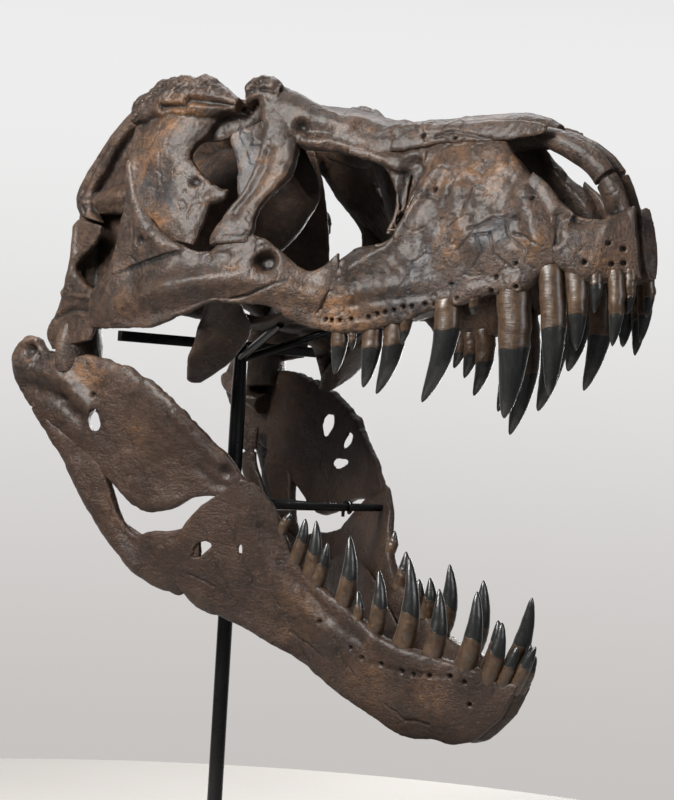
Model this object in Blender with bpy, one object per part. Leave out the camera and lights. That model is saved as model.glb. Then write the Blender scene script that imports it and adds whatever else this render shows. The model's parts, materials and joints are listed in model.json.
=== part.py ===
"""A tyrannosaur skull, cast bone by bone, with its jaws open on a black steel stand.

Each bone is a loft. A plate bone runs between two edges drawn in side view, and bends with the
side of the head. A strut or a rod is a section carried along a path. The right bones are made
first, cut back where they meet, and mirrored. Metres, X to the snout, Y to the animal's left,
Z up. The origin is on the floor, under the pole.
"""

import math

import bmesh
import bpy
import numpy as np
from mathutils import Matrix

# Driving dimensions
JOINT_HEIGHT = 1.10
JOINT_BEHIND_POLE = 0.205
NOSE_UP = math.radians(7.6)
JAW_OPEN = math.radians(33.75)
BONE_GAP = 0.0015
WELD = 1e-5
MIDLINE_GAP = 0.001

BASE_LENGTH, BASE_WIDTH, BASE_THICK = 0.90, 0.70, 0.015
BASE_FORWARD = 0.15
POLE_RADIUS, POLE_TOP = 0.0165, 1.205
CROSSBAR_HEIGHT, CROSSBAR_HALF = 1.20, 0.335
CROSSBAR_WIDE, CROSSBAR_DEEP = 0.022, 0.012
JAW_BAR_HEIGHT, JAW_BAR_FORWARD, JAW_BAR_HALF = 0.865, 0.275, 0.24
ROD_RADIUS = 0.0085
CROSSBAR_BACK = -0.026
STEEL_GAP = 0.0004
TOOTH_ROW_TOP = 0.15
CLIP_LEFT, CLIP_SIZE = 0.075, (0.030, 0.014, 0.042)
STRUT_FOOT, STRUT_APART, STRUT_TOP = 1.170, 0.004, 1.245
STRUT_FORWARD, STRUT_SPREAD = 0.20, 0.085
FLAT_ENOUGH = math.radians(10.0)
FLAT_AFTER_CUTS = math.radians(5.0)

# Half width of the head (right column: at these heights above the tooth row's rear end)
HEAD_HEIGHTS = (0.0, 0.2, 0.4, 0.5, 0.62)
HEAD_HALF_WIDTHS = {
    -0.12: (0.320, 0.320, 0.290, 0.270, 0.250),
    0.00: (0.330, 0.335, 0.305, 0.290, 0.260),
    0.20: (0.360, 0.350, 0.320, 0.305, 0.265),
    0.35: (0.365, 0.340, 0.315, 0.300, 0.250),
    0.50: (0.290, 0.295, 0.250, 0.220, 0.180),
    0.65: (0.215, 0.215, 0.180, 0.150, 0.100),
    0.83: (0.175, 0.170, 0.110, 0.060, 0.030),
    1.05: (0.150, 0.128, 0.066, 0.040, 0.020),
    1.18: (0.125, 0.098, 0.056, 0.030, 0.020),
    1.26: (0.085, 0.075, 0.045, 0.020, 0.010),
    1.31: (0.020, 0.020, 0.015, 0.010, 0.005),
}
JAW_HEIGHTS = (-0.30, -0.10, 0.10)
JAW_HALF_WIDTHS = {
    -0.15: (0.335, 0.345, 0.340),
    0.00: (0.315, 0.335, 0.330),
    0.10: (0.300, 0.320, 0.310),
    0.30: (0.265, 0.295, 0.290),
    0.50: (0.200, 0.225, 0.222),
    0.70: (0.130, 0.150, 0.140),
    0.90: (0.095, 0.120, 0.112),
    1.05: (0.055, 0.085, 0.080),
    1.15: (0.020, 0.045, 0.045),
    1.19: (0.005, 0.012, 0.012),
}

# Sections: share of the way from one edge to the other, and height out of the plate's middle
PLATE_SECTION = ((0.0, 0.0), (0.22, 1.0), (0.78, 1.0), (1.0, 0.0), (0.78, -1.0), (0.22, -1.0))
STRUT_SIDES = 6
TOOTH_SIDES = 4
TOOTH_ROOT = 0.022
TOOTH_SHARES = (0.0, 0.58, 0.985)
TOOTH_SIZES = (0.95, 0.84, 0.08)
TOOTH_FLATNESS = 0.75
TOOTH_INSET = 0.55

# The plate bones, by station: one edge (x, z), the other edge (x, z), thickness
PLATES = {
    "maxilla": [
        [(.602, .118, .608, .066, .024), (.652, .148, .652, .044, .030), (.702, .184, .706, .032, .034),
         (.742, .206, .756, .032, .038), (.792, .212, .806, .038, .040), (.836, .242, .846, .044, .042)],
        [(.820, .352, .832, .044, .034), (.866, .394, .886, .052, .040), (.936, .402, .954, .064, .044),
         (1.026, .384, 1.042, .078, .046), (1.098, .310, 1.102, .076, .046),
         (1.140, .260, 1.142, .102, .044),
         (1.172, .182, 1.170, .118, .036)],
        [(.866, .398, .858, .346, .030), (.806, .396, .812, .352, .026), (.756, .404, .762, .380, .020),
         (.700, .426, .700, .404, .014)],
    ],
    "lacrimal": [
        [(.484, .584, .582, .512, .046), (.500, .526, .584, .474, .044), (.516, .474, .592, .424, .040),
         (.514, .412, .588, .384, .036), (.496, .352, .562, .346, .032), (.466, .308, .534, .312, .030),
         (.440, .268, .524, .262, .028), (.436, .240, .524, .234, .024)],
        [(.488, .590, .522, .506, .050), (.548, .568, .570, .456, .048), (.612, .530, .620, .428, .042),
         (.660, .500, .672, .416, .036), (.712, .484, .716, .400, .030), (.756, .462, .750, .388, .024),
         (.796, .446, .786, .396, .012)],
        [(.466, .580, .476, .536, .040), (.484, .602, .494, .548, .056), (.514, .598, .512, .542, .052),
         (.540, .574, .536, .536, .036)],
    ],
    "postorbital": [
        [(.220, .584, .218, .530, .040), (.260, .612, .272, .538, .060), (.316, .626, .324, .538, .070),
         (.364, .616, .374, .528, .072), (.400, .610, .410, .520, .070), (.440, .578, .446, .524, .060),
         (.476, .548, .470, .526, .036)],
        [(.216, .556, .440, .542, .048), (.206, .488, .404, .474, .042), (.208, .438, .382, .440, .036),
         (.212, .386, .406, .394, .032), (.236, .350, .434, .364, .028), (.294, .312, .436, .326, .024),
         (.336, .268, .418, .280, .020), (.376, .250, .408, .240, .012)],
        [(.404, .398, .402, .332, .028), (.436, .368, .442, .328, .024), (.470, .352, .464, .332, .012)],
        [(.210, .406, .292, .390, .030), (.204, .350, .254, .346, .022), (.196, .304, .220, .314, .012)],
    ],
    "squamosal": [
        [(.242, .588, .222, .522, .034), (.182, .570, .184, .524, .036), (.126, .526, .142, .488, .036),
         (.084, .484, .112, .448, .036), (.022, .418, .074, .404, .038), (.020, .384, .082, .360, .036),
         (.038, .358, .118, .330, .026)],
        [(.032, .348, .046, .408, .034), (.088, .356, .088, .406, .034), (.140, .348, .140, .410, .030),
         (.190, .345, .194, .408, .024), (.214, .352, .218, .400, .012)],
    ],
    "quadratojugal": [
        [(.034, .350, .122, .322, .014), (.024, .326, .108, .294, .020), (.018, .256, .040, .250, .024),
         (.002, .216, .064, .208, .026), (-.024, .170, .116, .178, .028), (-.056, .136, .128, .148, .026),
         (-.072, .106, .110, .112, .026), (-.050, .074, .092, .078, .016)],
    ],
    "jugal": [
        [(.106, .178, .100, .106, .016), (.156, .218, .152, .096, .026), (.216, .266, .222, .088, .030),
         (.296, .282, .308, .084, .034), (.368, .250, .372, .100, .036), (.430, .228, .424, .116, .040),
         (.462, .252, .462, .116, .040), (.514, .256, .506, .112, .040), (.554, .240, .554, .102, .036),
         (.580, .214, .590, .078, .032), (.606, .186, .612, .070, .030)],
        [(.592, .198, .584, .078, .030), (.634, .166, .634, .054, .026), (.682, .164, .668, .108, .018),
         (.736, .212, .730, .188, .010)],
        [(.158, .202, .384, .236, .032), (.174, .250, .350, .262, .030), (.192, .300, .304, .300, .028),
         (.206, .350, .260, .350, .024), (.208, .400, .236, .400, .018), (.212, .450, .224, .444, .010)],
    ],
    "premaxilla": [
        [(1.158, .222, 1.164, .124, .026), (1.202, .212, 1.210, .086, .044),
         (1.244, .200, 1.240, .074, .048), (1.272, .206, 1.266, .076, .046),
         (1.294, .214, 1.292, .076, .040), (1.308, .220, 1.314, .078, .030)],
        [(1.206, .212, 1.192, .176, .022), (1.174, .244, 1.160, .204, .020),
         (1.148, .276, 1.132, .246, .016), (1.112, .308, 1.100, .284, .010)],
    ],
}
PLATE_INSETS = {"squamosal": 0.004, "quadratojugal": 0.006, "jugal": 0.0, "postorbital": -0.004}

# The jaw's plate bones, in the same way, drawn with the mouth shut
JAW_PLATES = {
    "dentary": [
        [(.488, .036, .432, -.060, .014), (.508, .038, .410, -.130, .018), (.526, .038, .410, -.215, .024),
         (.566, .020, .480, -.274, .030),
         (.606, -.018, .560, -.264, .034), (.645, -.054, .650, -.256, .036),
         (.700, -.078, .748, -.253, .038),
         (.789, -.084, .863, -.264, .042), (.904, -.094, .966, -.263, .042),
         (.981, -.075, 1.018, -.260, .042),
         (1.035, -.059, 1.076, -.228, .042), (1.095, -.045, 1.116, -.214, .042),
         (1.150, -.040, 1.152, -.178, .038),
         (1.184, -.018, 1.180, -.110, .026)],
    ],
    "surangular": [
        [(-.168, .008, -.170, -.040, .028), (-.150, .034, -.138, -.074, .036),
         (-.122, .038, -.108, -.090, .038), (-.090, .028, -.064, -.102, .038),
         (-.036, .050, -.020, -.118, .042), (.051, .084, .045, -.118, .042),
         (.143, .106, .117, -.120, .038), (.235, .108, .200, -.132, .036),
         (.315, .100, .268, -.146, .034), (.385, .080, .326, -.141, .030),
         (.440, .065, .380, -.098, .026), (.490, .036, .410, -.054, .022), (.506, .022, .460, -.024, .018),
         (.522, .006, .486, -.040, .010)],
    ],
    "angular": [
        [(-.060, -.086, -.056, -.104, .010), (.030, -.100, .050, -.150, .024),
         (.100, -.098, .136, -.204, .030), (.165, -.108, .212, -.240, .032),
         (.206, -.146, .268, -.262, .032), (.254, -.192, .316, -.280, .030),
         (.306, -.206, .356, -.288, .030), (.352, -.174, .404, -.284, .026),
         (.398, -.142, .450, -.266, .022), (.440, -.092, .472, -.180, .014)],
    ],
}

# The deep bones, by station: x, y, z, half width across the path, half depth
STRUTS = {
    "quadrate": [
        [(.002, -.284, .018, .060, .034), (.004, -.284, .064, .062, .036),
         (.008, -.280, .106, .055, .034), (.018, -.266, .152, .036, .026),
         (.028, -.262, .234, .034, .022), (.034, -.264, .334, .034, .022),
         (.046, -.268, .400, .026, .020)],
        [(.014, -.262, .224, .012, .060), (.054, -.224, .206, .008, .055),
         (.098, -.180, .192, .006, .030)],
    ],
    "pterygoid": [
        [(.114, -.164, .202, .010, .050), (.174, -.110, .168, .016, .036),
         (.256, -.080, .128, .026, .022),
         (.358, -.076, .100, .034, .014), (.478, -.070, .112, .034, .010),
         (.598, -.044, .140, .020, .010),
         (.698, -.026, .170, .012, .008)],
        [(.296, -.090, .122, .020, .014), (.314, -.150, .072, .024, .016),
         (.304, -.184, .006, .022, .012)],
    ],
    "ectopterygoid": [
        [(.432, -.270, .152, .030, .030), (.412, -.244, .114, .040, .024),
         (.382, -.216, .066, .060, .018),
         (.324, -.204, .018, .056, .015), (.272, -.200, -.020, .020, .010)],
    ],
    "palatine": [
        [(.562, -.184, .112, .020, .014), (.642, -.150, .112, .036, .012),
         (.742, -.110, .128, .040, .010),
         (.830, -.070, .152, .020, .008), (.880, -.044, .162, .010, .006)],
    ],
}
JAW_STRUTS = {
    "articular": [
        [(.022, -.276, -.016, .030, .026), (-.010, -.280, -.020, .044, .022),
         (-.060, -.288, -.025, .040, .024),
         (-.120, -.298, -.035, .028, .020), (-.152, -.300, -.030, .014, .014)],
    ],
    "prearticular": [
        [(.020, -.262, -.080, .010, .026), (.060, -.260, -.150, .010, .026),
         (.130, -.254, -.195, .009, .026),
         (.200, -.246, -.232, .009, .028), (.300, -.226, -.240, .008, .030),
         (.400, -.200, -.222, .008, .030), (.480, -.178, -.190, .006, .024)],
    ],
    "splenial": [
        [(.490, -.165, -.185, .006, .036), (.560, -.142, -.170, .007, .060),
         (.660, -.106, -.165, .007, .058),
         (.780, -.078, -.180, .006, .040), (.900, -.058, -.190, .006, .020)],
    ],
}

# The bones on the midline
MIDLINE = {
    "braincase": [
        [(.514, .000, .530, .060, .018), (.442, .000, .542, .140, .022), (.372, .000, .550, .190, .026),
         (.300, .000, .550, .150, .030), (.240, .000, .546, .056, .050), (.158, .000, .548, .034, .075),
         (.076, .000, .550, .040, .090), (.036, .000, .552, .060, .092)],
        [(.416, .000, .446, .040, .100), (.316, .000, .398, .062, .130), (.204, .000, .366, .078, .150),
         (.104, .000, .348, .085, .150), (.028, .000, .350, .075, .110), (-.022, .000, .332, .042, .042),
         (-.052, .000, .328, .028, .028)],
        [(.060, -.236, .446, .022, .050), (.046, -.130, .494, .026, .085), (.036, .000, .522, .030, .105),
         (.040, .130, .508, .026, .085), (.050, .236, .474, .022, .050)],
        [(.030, -.262, .324, .014, .040), (.042, -.150, .350, .022, .050), (.052, .000, .370, .030, .070),
         (.034, .150, .370, .022, .050), (.018, .262, .356, .014, .040)],
        [(.226, -.084, .138, .018, .018), (.206, .000, .204, .040, .040), (.220, .084, .150, .018, .018)],
    ],
    "nasals": [
        [(.474, .000, .546, .104, .014), (.576, .000, .512, .112, .022), (.668, .000, .472, .104, .028),
         (.762, .000, .438, .098, .032), (.852, .000, .424, .096, .038), (.944, .000, .416, .078, .040),
         (1.026, .000, .410, .056, .036), (1.076, .000, .400, .036, .030),
         (1.118, .000, .386, .018, .022)],
    ],
    "vomer": [
        [(.718, .000, .176, .018, .010), (.860, .000, .156, .022, .012), (1.002, .000, .142, .020, .012),
         (1.124, .000, .134, .040, .010), (1.194, .000, .126, .030, .008)],
    ],
}
NASAL_FORK = [(1.262, .205, .015, .029), (1.246, .262, .015, .026), (1.212, .314, .016, .025),
              (1.166, .350, .017, .024), (1.122, .376, .018, .022), (1.078, .396, .016, .014)]

# Deeper plates on the side bones, behind or around their openings: inset from the side, then stations
DEEP_PLATES = {
    "quadrate": (.062, [(.010, .112, .120, .108, .016), (.020, .170, .196, .176, .018),
                        (.026, .240, .236, .250, .018), (.050, .400, .256, .404, .016),
                        (.150, .530, .250, .536, .012)]),
    "postorbital": (.030, [(.250, .584, .262, .520, .024), (.320, .580, .340, .484, .024),
                           (.390, .572, .402, .470, .024), (.450, .556, .446, .478, .022),
                           (.500, .540, .496, .506, .016)]),
    "lacrimal": (.034, [(.416, .524, .490, .534, .014), (.428, .478, .500, .480, .018),
                        (.442, .440, .510, .440, .020), (.454, .400, .514, .400, .020),
                        (.458, .362, .506, .352, .018), (.468, .325, .482, .316, .010)]),
    "maxilla": (.016, [(.740, .394, .800, .398, .012), (.764, .372, .840, .366, .016),
                       (.784, .340, .862, .340, .018), (.798, .300, .866, .302, .018),
                       (.796, .262, .856, .262, .018), (.784, .226, .826, .226, .014)]),
    "squamosal": (.032, [(.150, .530, .224, .560, .014), (.108, .490, .218, .500, .018),
                         (.074, .440, .212, .446, .018), (.058, .398, .208, .404, .018),
                         (.074, .366, .200, .372, .014)]),
}

# The nasals' flanks, down to the suture with the maxilla
NASAL_FLANK = [(.742, .454, .748, .404, .014), (.800, .452, .808, .397, .026), (.890, .439, .890, .400, .032),
               (.980, .434, .978, .390, .030), (1.050, .427, 1.048, .382, .022), (1.104, .410, 1.100, .376, .012)]

# The left eye socket's horn sits lower than the right one, in the head's own frame
HORN_DROP = 0.046
HORN_AT, HORN_REACH = 0.525, 0.09
HORN_FOOT, HORN_CROWN = 0.50, 0.58

# The left cheek's bar stands further forward than the right one, which widens the opening behind it
WINDOW_HEIGHTS = (.18, .26, .34, .43, .50)
WINDOW_SHIFTS = (0.0, .104, .094, .035, 0.0)
WINDOW_FRONT, WINDOW_REACH = .44, .22
WINDOW_BONES = ("postorbital", "jugal")

# Teeth of each side: x, length out of the bone, width along the row, backward lean of the tip
UPPER_TEETH = {
    "R": [(.682, .084, .030, .019), (.716, .036, .016, .004), (.752, .110, .036, .030),
          (.801, .130, .040, .056),
          (.836, .050, .022, .022), (.921, .176, .046, .077), (.990, .030, .024, .004),
          (1.062, .242, .058, .036),
          (1.145, .234, .046, .018)],
    "L": [(.690, .050, .026, .022), (.728, .072, .030, .024), (.776, .116, .036, .036),
          (.862, .170, .044, .042),
          (.906, .230, .050, .050), (.992, .204, .050, .050), (1.060, .140, .046, .030),
          (1.128, .200, .046, .050)],
}
FRONT_TEETH = {
    "R": [(1.197, .145, .036, .007), (1.238, .056, .022, .008), (1.266, .122, .030, .016),
          (1.288, .062, .022, .008)],
    "L": [(1.197, .130, .036, .010), (1.236, .130, .030, .012), (1.266, .110, .028, .014),
          (1.288, .066, .022, .008)],
}
LOWER_TEETH = {
    "R": [(.595, .030, .020, -.006), (.644, .076, .026, .018), (.680, .098, .030, .038),
          (.703, .082, .026, .014),
          (.773, .122, .034, .052), (.824, .042, .022, .028), (.865, .106, .032, .050),
          (.932, .158, .038, .072),
          (.998, .122, .036, .049), (1.066, .142, .036, .045), (1.118, .106, .032, .024),
          (1.146, .080, .024, .002),
          (1.168, .086, .024, -.006)],
    "L": [(.625, .026, .020, .010), (.710, .062, .028, .020), (.776, .040, .024, .018),
          (.820, .066, .030, .030),
          (.876, .128, .036, .046), (.980, .140, .038, .040), (1.050, .078, .032, .026),
          (1.112, .160, .034, .022),
          (1.146, .080, .024, .004), (1.168, .060, .022, -.002)],
}

BONE_COLOUR = (0.22, 0.12, 0.065, 1.0)
STEEL_COLOUR = (0.012, 0.012, 0.013, 1.0)


def clear_scene():
    for obj in list(bpy.data.objects):
        bpy.data.objects.remove(obj, do_unlink=True)


def material(name, colour, roughness, metallic):
    made = bpy.data.materials.new(name)
    made.use_nodes = True
    shader = made.node_tree.nodes["Principled BSDF"]
    shader.inputs["Base Color"].default_value = colour
    shader.inputs["Roughness"].default_value = roughness
    shader.inputs["Metallic"].default_value = metallic
    return made


def collection(name):
    made = bpy.data.collections.new(name)
    bpy.context.scene.collection.children.link(made)
    return made


def table_value(table, heights, x, z):
    """A half width read between the table's stations and heights, in straight lines."""
    columns = [np.interp(x, list(table), column) for column in zip(*table.values())]
    return float(np.interp(z, heights, columns))


def pose(pitch):
    """From a bone's own frame, with the jaw joint at its origin, to the stand's."""
    joint = Matrix.Translation((-JOINT_BEHIND_POLE, 0.0, JOINT_HEIGHT))
    return joint @ Matrix.Rotation(-pitch, 4, "Y")


CRANIUM = pose(NOSE_UP)
JAW = pose(NOSE_UP - JAW_OPEN)


def loft(rings):
    """A closed mesh through rings of like point count."""
    rings = np.asarray(rings)
    count, around, _ = rings.shape
    mesh = bmesh.new()
    corners = [[mesh.verts.new(point) for point in ring] for ring in rings]
    for i in range(count - 1):
        for k in range(around):
            n = (k + 1) % around
            mesh.faces.new((corners[i][k], corners[i][n], corners[i + 1][n], corners[i + 1][k]))
    mesh.faces.new(corners[0])
    mesh.faces.new(corners[-1])
    bmesh.ops.triangulate(mesh, faces=mesh.faces[:])
    bmesh.ops.recalc_face_normals(mesh, faces=mesh.faces[:])
    return mesh


def plate(stations, table, heights, inset):
    """The right side's plate: its outer face lies on the side of the head, and it stops at the midline."""
    stations = np.array(stations)
    edges = stations[:, :4].reshape(-1, 2, 2)
    surface = np.empty((len(stations), len(PLATE_SECTION), 3))
    for i, (first, second) in enumerate(edges):
        for k, (share, _) in enumerate(PLATE_SECTION):
            x, z = first + share * (second - first)
            surface[i, k] = x, inset - table_value(table, heights, x, z), z
    across = surface[:, 3] - surface[:, 0]
    along = np.gradient(surface.mean(axis=1), axis=0)
    out = np.cross(across, along)
    out *= -np.sign(out[:, 1:2]) / np.linalg.norm(out, axis=1, keepdims=True)
    depth = np.array([height for _, height in PLATE_SECTION])
    offset = (depth[None, :, None] - 1.0) * stations[:, 4, None, None] / 2
    rings = surface + offset * out[:, None, :]
    rings[..., 1] = np.minimum(rings[..., 1], -MIDLINE_GAP)
    return loft(rings)


def strut(stations):
    """An elliptical section along a path; its width lies level where the path allows."""
    stations = np.array(stations, float)
    path = stations[:, :3]
    along = np.gradient(path, axis=0)
    along /= np.linalg.norm(along, axis=1, keepdims=True)
    level = np.cross(along, (0.0, 0.0, 1.0))
    steep = np.linalg.norm(level, axis=1) < 0.5
    level[steep] = np.cross(along[steep], (-1.0, 0.0, 0.0))
    level /= np.linalg.norm(level, axis=1, keepdims=True)
    upright = np.cross(level, along)
    angle = np.linspace(0, 2 * math.pi, STRUT_SIDES, endpoint=False)
    ring = (np.cos(angle)[None, :, None] * level[:, None] * stations[:, 3, None, None]
            + np.sin(angle)[None, :, None] * upright[:, None] * stations[:, 4, None, None])
    return loft(path[:, None] + ring)


def put(name, mesh, group, look, matrix=None):
    data = bpy.data.meshes.new(name)
    mesh.to_mesh(data)
    mesh.free()
    if matrix is not None:
        data.transform(matrix)
    data.materials.append(look)
    obj = bpy.data.objects.new(name, data)
    group.objects.link(obj)
    return obj


def bake(obj):
    """The object's modifiers made part of its mesh."""
    graph = bpy.context.evaluated_depsgraph_get()
    data = bpy.data.meshes.new_from_object(obj.evaluated_get(graph))
    mesh = bmesh.new()
    mesh.from_mesh(data)
    bmesh.ops.triangulate(mesh, faces=mesh.faces[:])
    mesh.to_mesh(data)
    mesh.free()
    obj.modifiers.clear()
    obj.data = data


def boolean(obj, other, operation):
    modifier = obj.modifiers.new(operation.title(), "BOOLEAN")
    modifier.operation = operation
    modifier.object = other
    modifier.solver = "MANIFOLD"
    bake(obj)


def thinned(obj, flat):
    """Merges faces that lie in one plane within this angle."""
    mesh = bmesh.new()
    mesh.from_mesh(obj.data)
    bmesh.ops.dissolve_limit(mesh, angle_limit=flat, verts=mesh.verts[:], edges=mesh.edges[:])
    bmesh.ops.triangulate(mesh, faces=mesh.faces[:])
    mesh.to_mesh(obj.data)
    mesh.free()


def largest_piece(obj):
    """Drops the crumbs that a cut leaves."""
    mesh = bmesh.new()
    mesh.from_mesh(obj.data)
    bmesh.ops.remove_doubles(mesh, verts=mesh.verts[:], dist=WELD)
    left, pieces = set(mesh.faces), []
    while left:
        piece, edge_of_piece = set(), [left.pop()]
        while edge_of_piece:
            face = edge_of_piece.pop()
            piece.add(face)
            for near in (f for edge in face.edges if len(edge.link_faces) == 2 for f in edge.link_faces):
                if near in left:
                    left.discard(near)
                    edge_of_piece.append(near)
        pieces.append(piece)
    keep = max(pieces, key=lambda piece: sum(face.calc_area() for face in piece))
    bmesh.ops.delete(mesh, geom=[f for f in mesh.faces if f not in keep], context="FACES")
    mesh.to_mesh(obj.data)
    mesh.free()


def fused(name, meshes, group, look, matrix):
    """Limbs of one bone joined into one solid."""
    bone = put(name, meshes[0], group, look, matrix)
    for mesh in meshes[1:]:
        limb = put("limb", mesh, group, look, matrix)
        boolean(bone, limb, "UNION")
        bpy.data.objects.remove(limb, do_unlink=True)
    thinned(bone, FLAT_ENOUGH)
    return bone


def box_of(obj):
    points = np.empty(len(obj.data.vertices) * 3, np.float32)
    obj.data.vertices.foreach_get("co", points)
    points = points.reshape(-1, 3)
    return points.min(axis=0), points.max(axis=0)


def cut_back(obj, neighbour):
    """Where the neighbour lies in the way, the object stops a hair short of it."""
    low, high = box_of(obj)
    other_low, other_high = box_of(neighbour)
    if (low > other_high + BONE_GAP).any() or (other_low > high + BONE_GAP).any():
        return
    swollen = neighbour.copy()
    swollen.data = neighbour.data.copy()
    neighbour.users_collection[0].objects.link(swollen)
    swell = swollen.modifiers.new("Swell", "DISPLACE")
    swell.strength = BONE_GAP
    swell.mid_level = 0.0
    bake(swollen)
    for cutter in (swollen, neighbour):
        boolean(obj, cutter, "DIFFERENCE")
    bpy.data.objects.remove(swollen, do_unlink=True)
    largest_piece(obj)


def mirrored(obj, name):
    data = obj.data.copy()
    data.transform(Matrix.Scale(-1, 4, (0, 1, 0)))
    data.flip_normals()
    copy = bpy.data.objects.new(name, data)
    obj.users_collection[0].objects.link(copy)
    return copy


def lower_horn(bone):
    """Lets down what lies near the left horn; nothing else moves."""
    into_head = CRANIUM.inverted()
    for vertex in bone.data.vertices:
        place = into_head @ vertex.co
        near = 1.0 - abs(place.x - HORN_AT) / HORN_REACH
        high = (place.z - HORN_FOOT) / (HORN_CROWN - HORN_FOOT)
        if near > 0.0 and high > 0.0:
            place.z -= HORN_DROP * near * min(high, 1.0)
            vertex.co = CRANIUM @ place


def widen_window(bone):
    """Moves the left cheek's bar forward, most at its rear edge."""
    if not bone.name.startswith(WINDOW_BONES):
        return
    into_head = CRANIUM.inverted()
    for vertex in bone.data.vertices:
        place = into_head @ vertex.co
        share = min(max((WINDOW_FRONT - place.x) / WINDOW_REACH, 0.0), 1.0)
        place.x += share * float(np.interp(place.z, WINDOW_HEIGHTS, WINDOW_SHIFTS))
        vertex.co = CRANIUM @ place


def tooth(base, direction, outward, length, width, lean):
    """A curved cone with its root in the jaw, leaning to the rear."""
    base, direction, outward = (np.array(v, float) for v in (base, direction, outward))
    rear = np.array((-1.0, 0.0, 0.0))
    angle = np.linspace(0, 2 * math.pi, TOOTH_SIDES, endpoint=False)
    ring = np.cos(angle)[:, None] * rear + TOOTH_FLATNESS * np.sin(angle)[:, None] * outward
    rings = []
    for share, size in zip(TOOTH_SHARES, TOOTH_SIZES):
        along = share * (length + TOOTH_ROOT) - TOOTH_ROOT
        middle = base + direction * along + rear * lean * share ** 2
        rings.append(middle + size * width / 2 * ring)
    return loft(rings)


def row_of_teeth(bone, teeth, edge, table, heights, side, up, matrix):
    """Teeth along the bone's edge, each joined to it."""
    edge_x = [point[0] for point in edge]
    edge_z = [point[1] for point in edge]
    for x, length, width, lean in teeth:
        z = float(np.interp(x, edge_x, edge_z))
        y = side * (table_value(table, heights, x, z) - TOOTH_INSET * width)
        mesh = tooth((x, y, z), (0, 0, up), (0, side, 0), length, width, lean)
        peg = put("tooth", mesh, bone.users_collection[0], bone.data.materials[0], matrix)
        boolean(bone, peg, "UNION")
        bpy.data.objects.remove(peg, do_unlink=True)


def tooth_edge(limbs, up):
    """The (x, z) points of a plate's tooth-bearing edge, from its own stations."""
    first = 0 if up > 0 else 2
    return sorted({(row[first], row[first + 1]) for limb in limbs for row in limb
                   if up > 0 or row[first + 1] < TOOTH_ROW_TOP})


def deep_plates(name):
    """The bone's deeper plate, where it has one, in a list."""
    if name not in DEEP_PLATES:
        return []
    inset, stations = DEEP_PLATES[name]
    return [plate(stations, HEAD_HALF_WIDTHS, HEAD_HEIGHTS, inset)]


def nasal_flanks():
    """The right and the left flank of the nasals."""
    right, left = (plate(NASAL_FLANK, HEAD_HALF_WIDTHS, HEAD_HEIGHTS, 0.0) for _ in range(2))
    bmesh.ops.scale(left, vec=(1.0, -1.0, 1.0), verts=left.verts[:])
    bmesh.ops.reverse_faces(left, faces=left.faces[:])
    return [right, left]


def make_bones(group, bone_look):
    """The right half and the midline, each bone cut back by those made before it."""
    midline = {}
    for name, limbs in MIDLINE.items():
        meshes = [strut(limb) for limb in limbs]
        if name == "nasals":
            meshes += nasal_flanks()
        midline[name] = fused(name, meshes, group, bone_look, CRANIUM)
    right = {}
    fork = [(x, -(0.003 + wide), z, wide, deep) for x, z, wide, deep in NASAL_FORK]
    for name, limbs in PLATES.items():
        inset = PLATE_INSETS.get(name, 0.0)
        meshes = [plate(limb, HEAD_HALF_WIDTHS, HEAD_HEIGHTS, inset) for limb in limbs]
        if name == "premaxilla":
            meshes.append(strut(fork))
        meshes += deep_plates(name)
        right[name] = fused(name + "_R", meshes, group, bone_look, CRANIUM)
    for name, limbs in STRUTS.items():
        meshes = [strut(limb) for limb in limbs] + deep_plates(name)
        right[name] = fused(name + "_R", meshes, group, bone_look, CRANIUM)
    for name, limbs in JAW_PLATES.items():
        meshes = [plate(limb, JAW_HALF_WIDTHS, JAW_HEIGHTS, 0.0) for limb in limbs]
        right[name] = fused(name + "_R", meshes, group, bone_look, JAW)
    for name, limbs in JAW_STRUTS.items():
        right[name] = fused(name + "_R", [strut(limb) for limb in limbs], group, bone_look, JAW)
    return midline, right


def part_bones(midline, right):
    """Each bone stops short of those that lap over it, and of the midline."""
    ordered = list(right.values())
    for i, bone in enumerate(ordered):
        for earlier in ordered[:i]:
            cut_back(bone, earlier)
        thinned(bone, FLAT_AFTER_CUTS)
    left = [mirrored(bone, bone.name[:-2] + "_L") for bone in ordered]
    for bone in left:
        lower_horn(bone)
        widen_window(bone)
    postorbital, jugal = (bpy.data.objects[name + "_L"] for name in WINDOW_BONES)
    cut_back(jugal, postorbital)
    thinned(jugal, FLAT_AFTER_CUTS)
    done = []
    for bone in midline.values():
        for other in ordered + left + done:
            cut_back(bone, other)
        thinned(bone, FLAT_AFTER_CUTS)
        done.append(bone)


def set_teeth():
    """Each side's teeth, along the edge of the bone that holds them."""
    for side, sign in (("R", -1.0), ("L", 1.0)):
        rows = (("maxilla", UPPER_TEETH, PLATES, HEAD_HALF_WIDTHS, HEAD_HEIGHTS, CRANIUM, -1.0),
                ("premaxilla", FRONT_TEETH, PLATES, HEAD_HALF_WIDTHS, HEAD_HEIGHTS, CRANIUM, -1.0),
                ("dentary", LOWER_TEETH, JAW_PLATES, JAW_HALF_WIDTHS, JAW_HEIGHTS, JAW, 1.0))
        for name, teeth, plates, table, heights, matrix, up in rows:
            bone = bpy.data.objects[name + "_" + side]
            edge = tooth_edge(plates[name], up)
            row_of_teeth(bone, teeth[side], edge, table, heights, sign, up, matrix)


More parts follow.
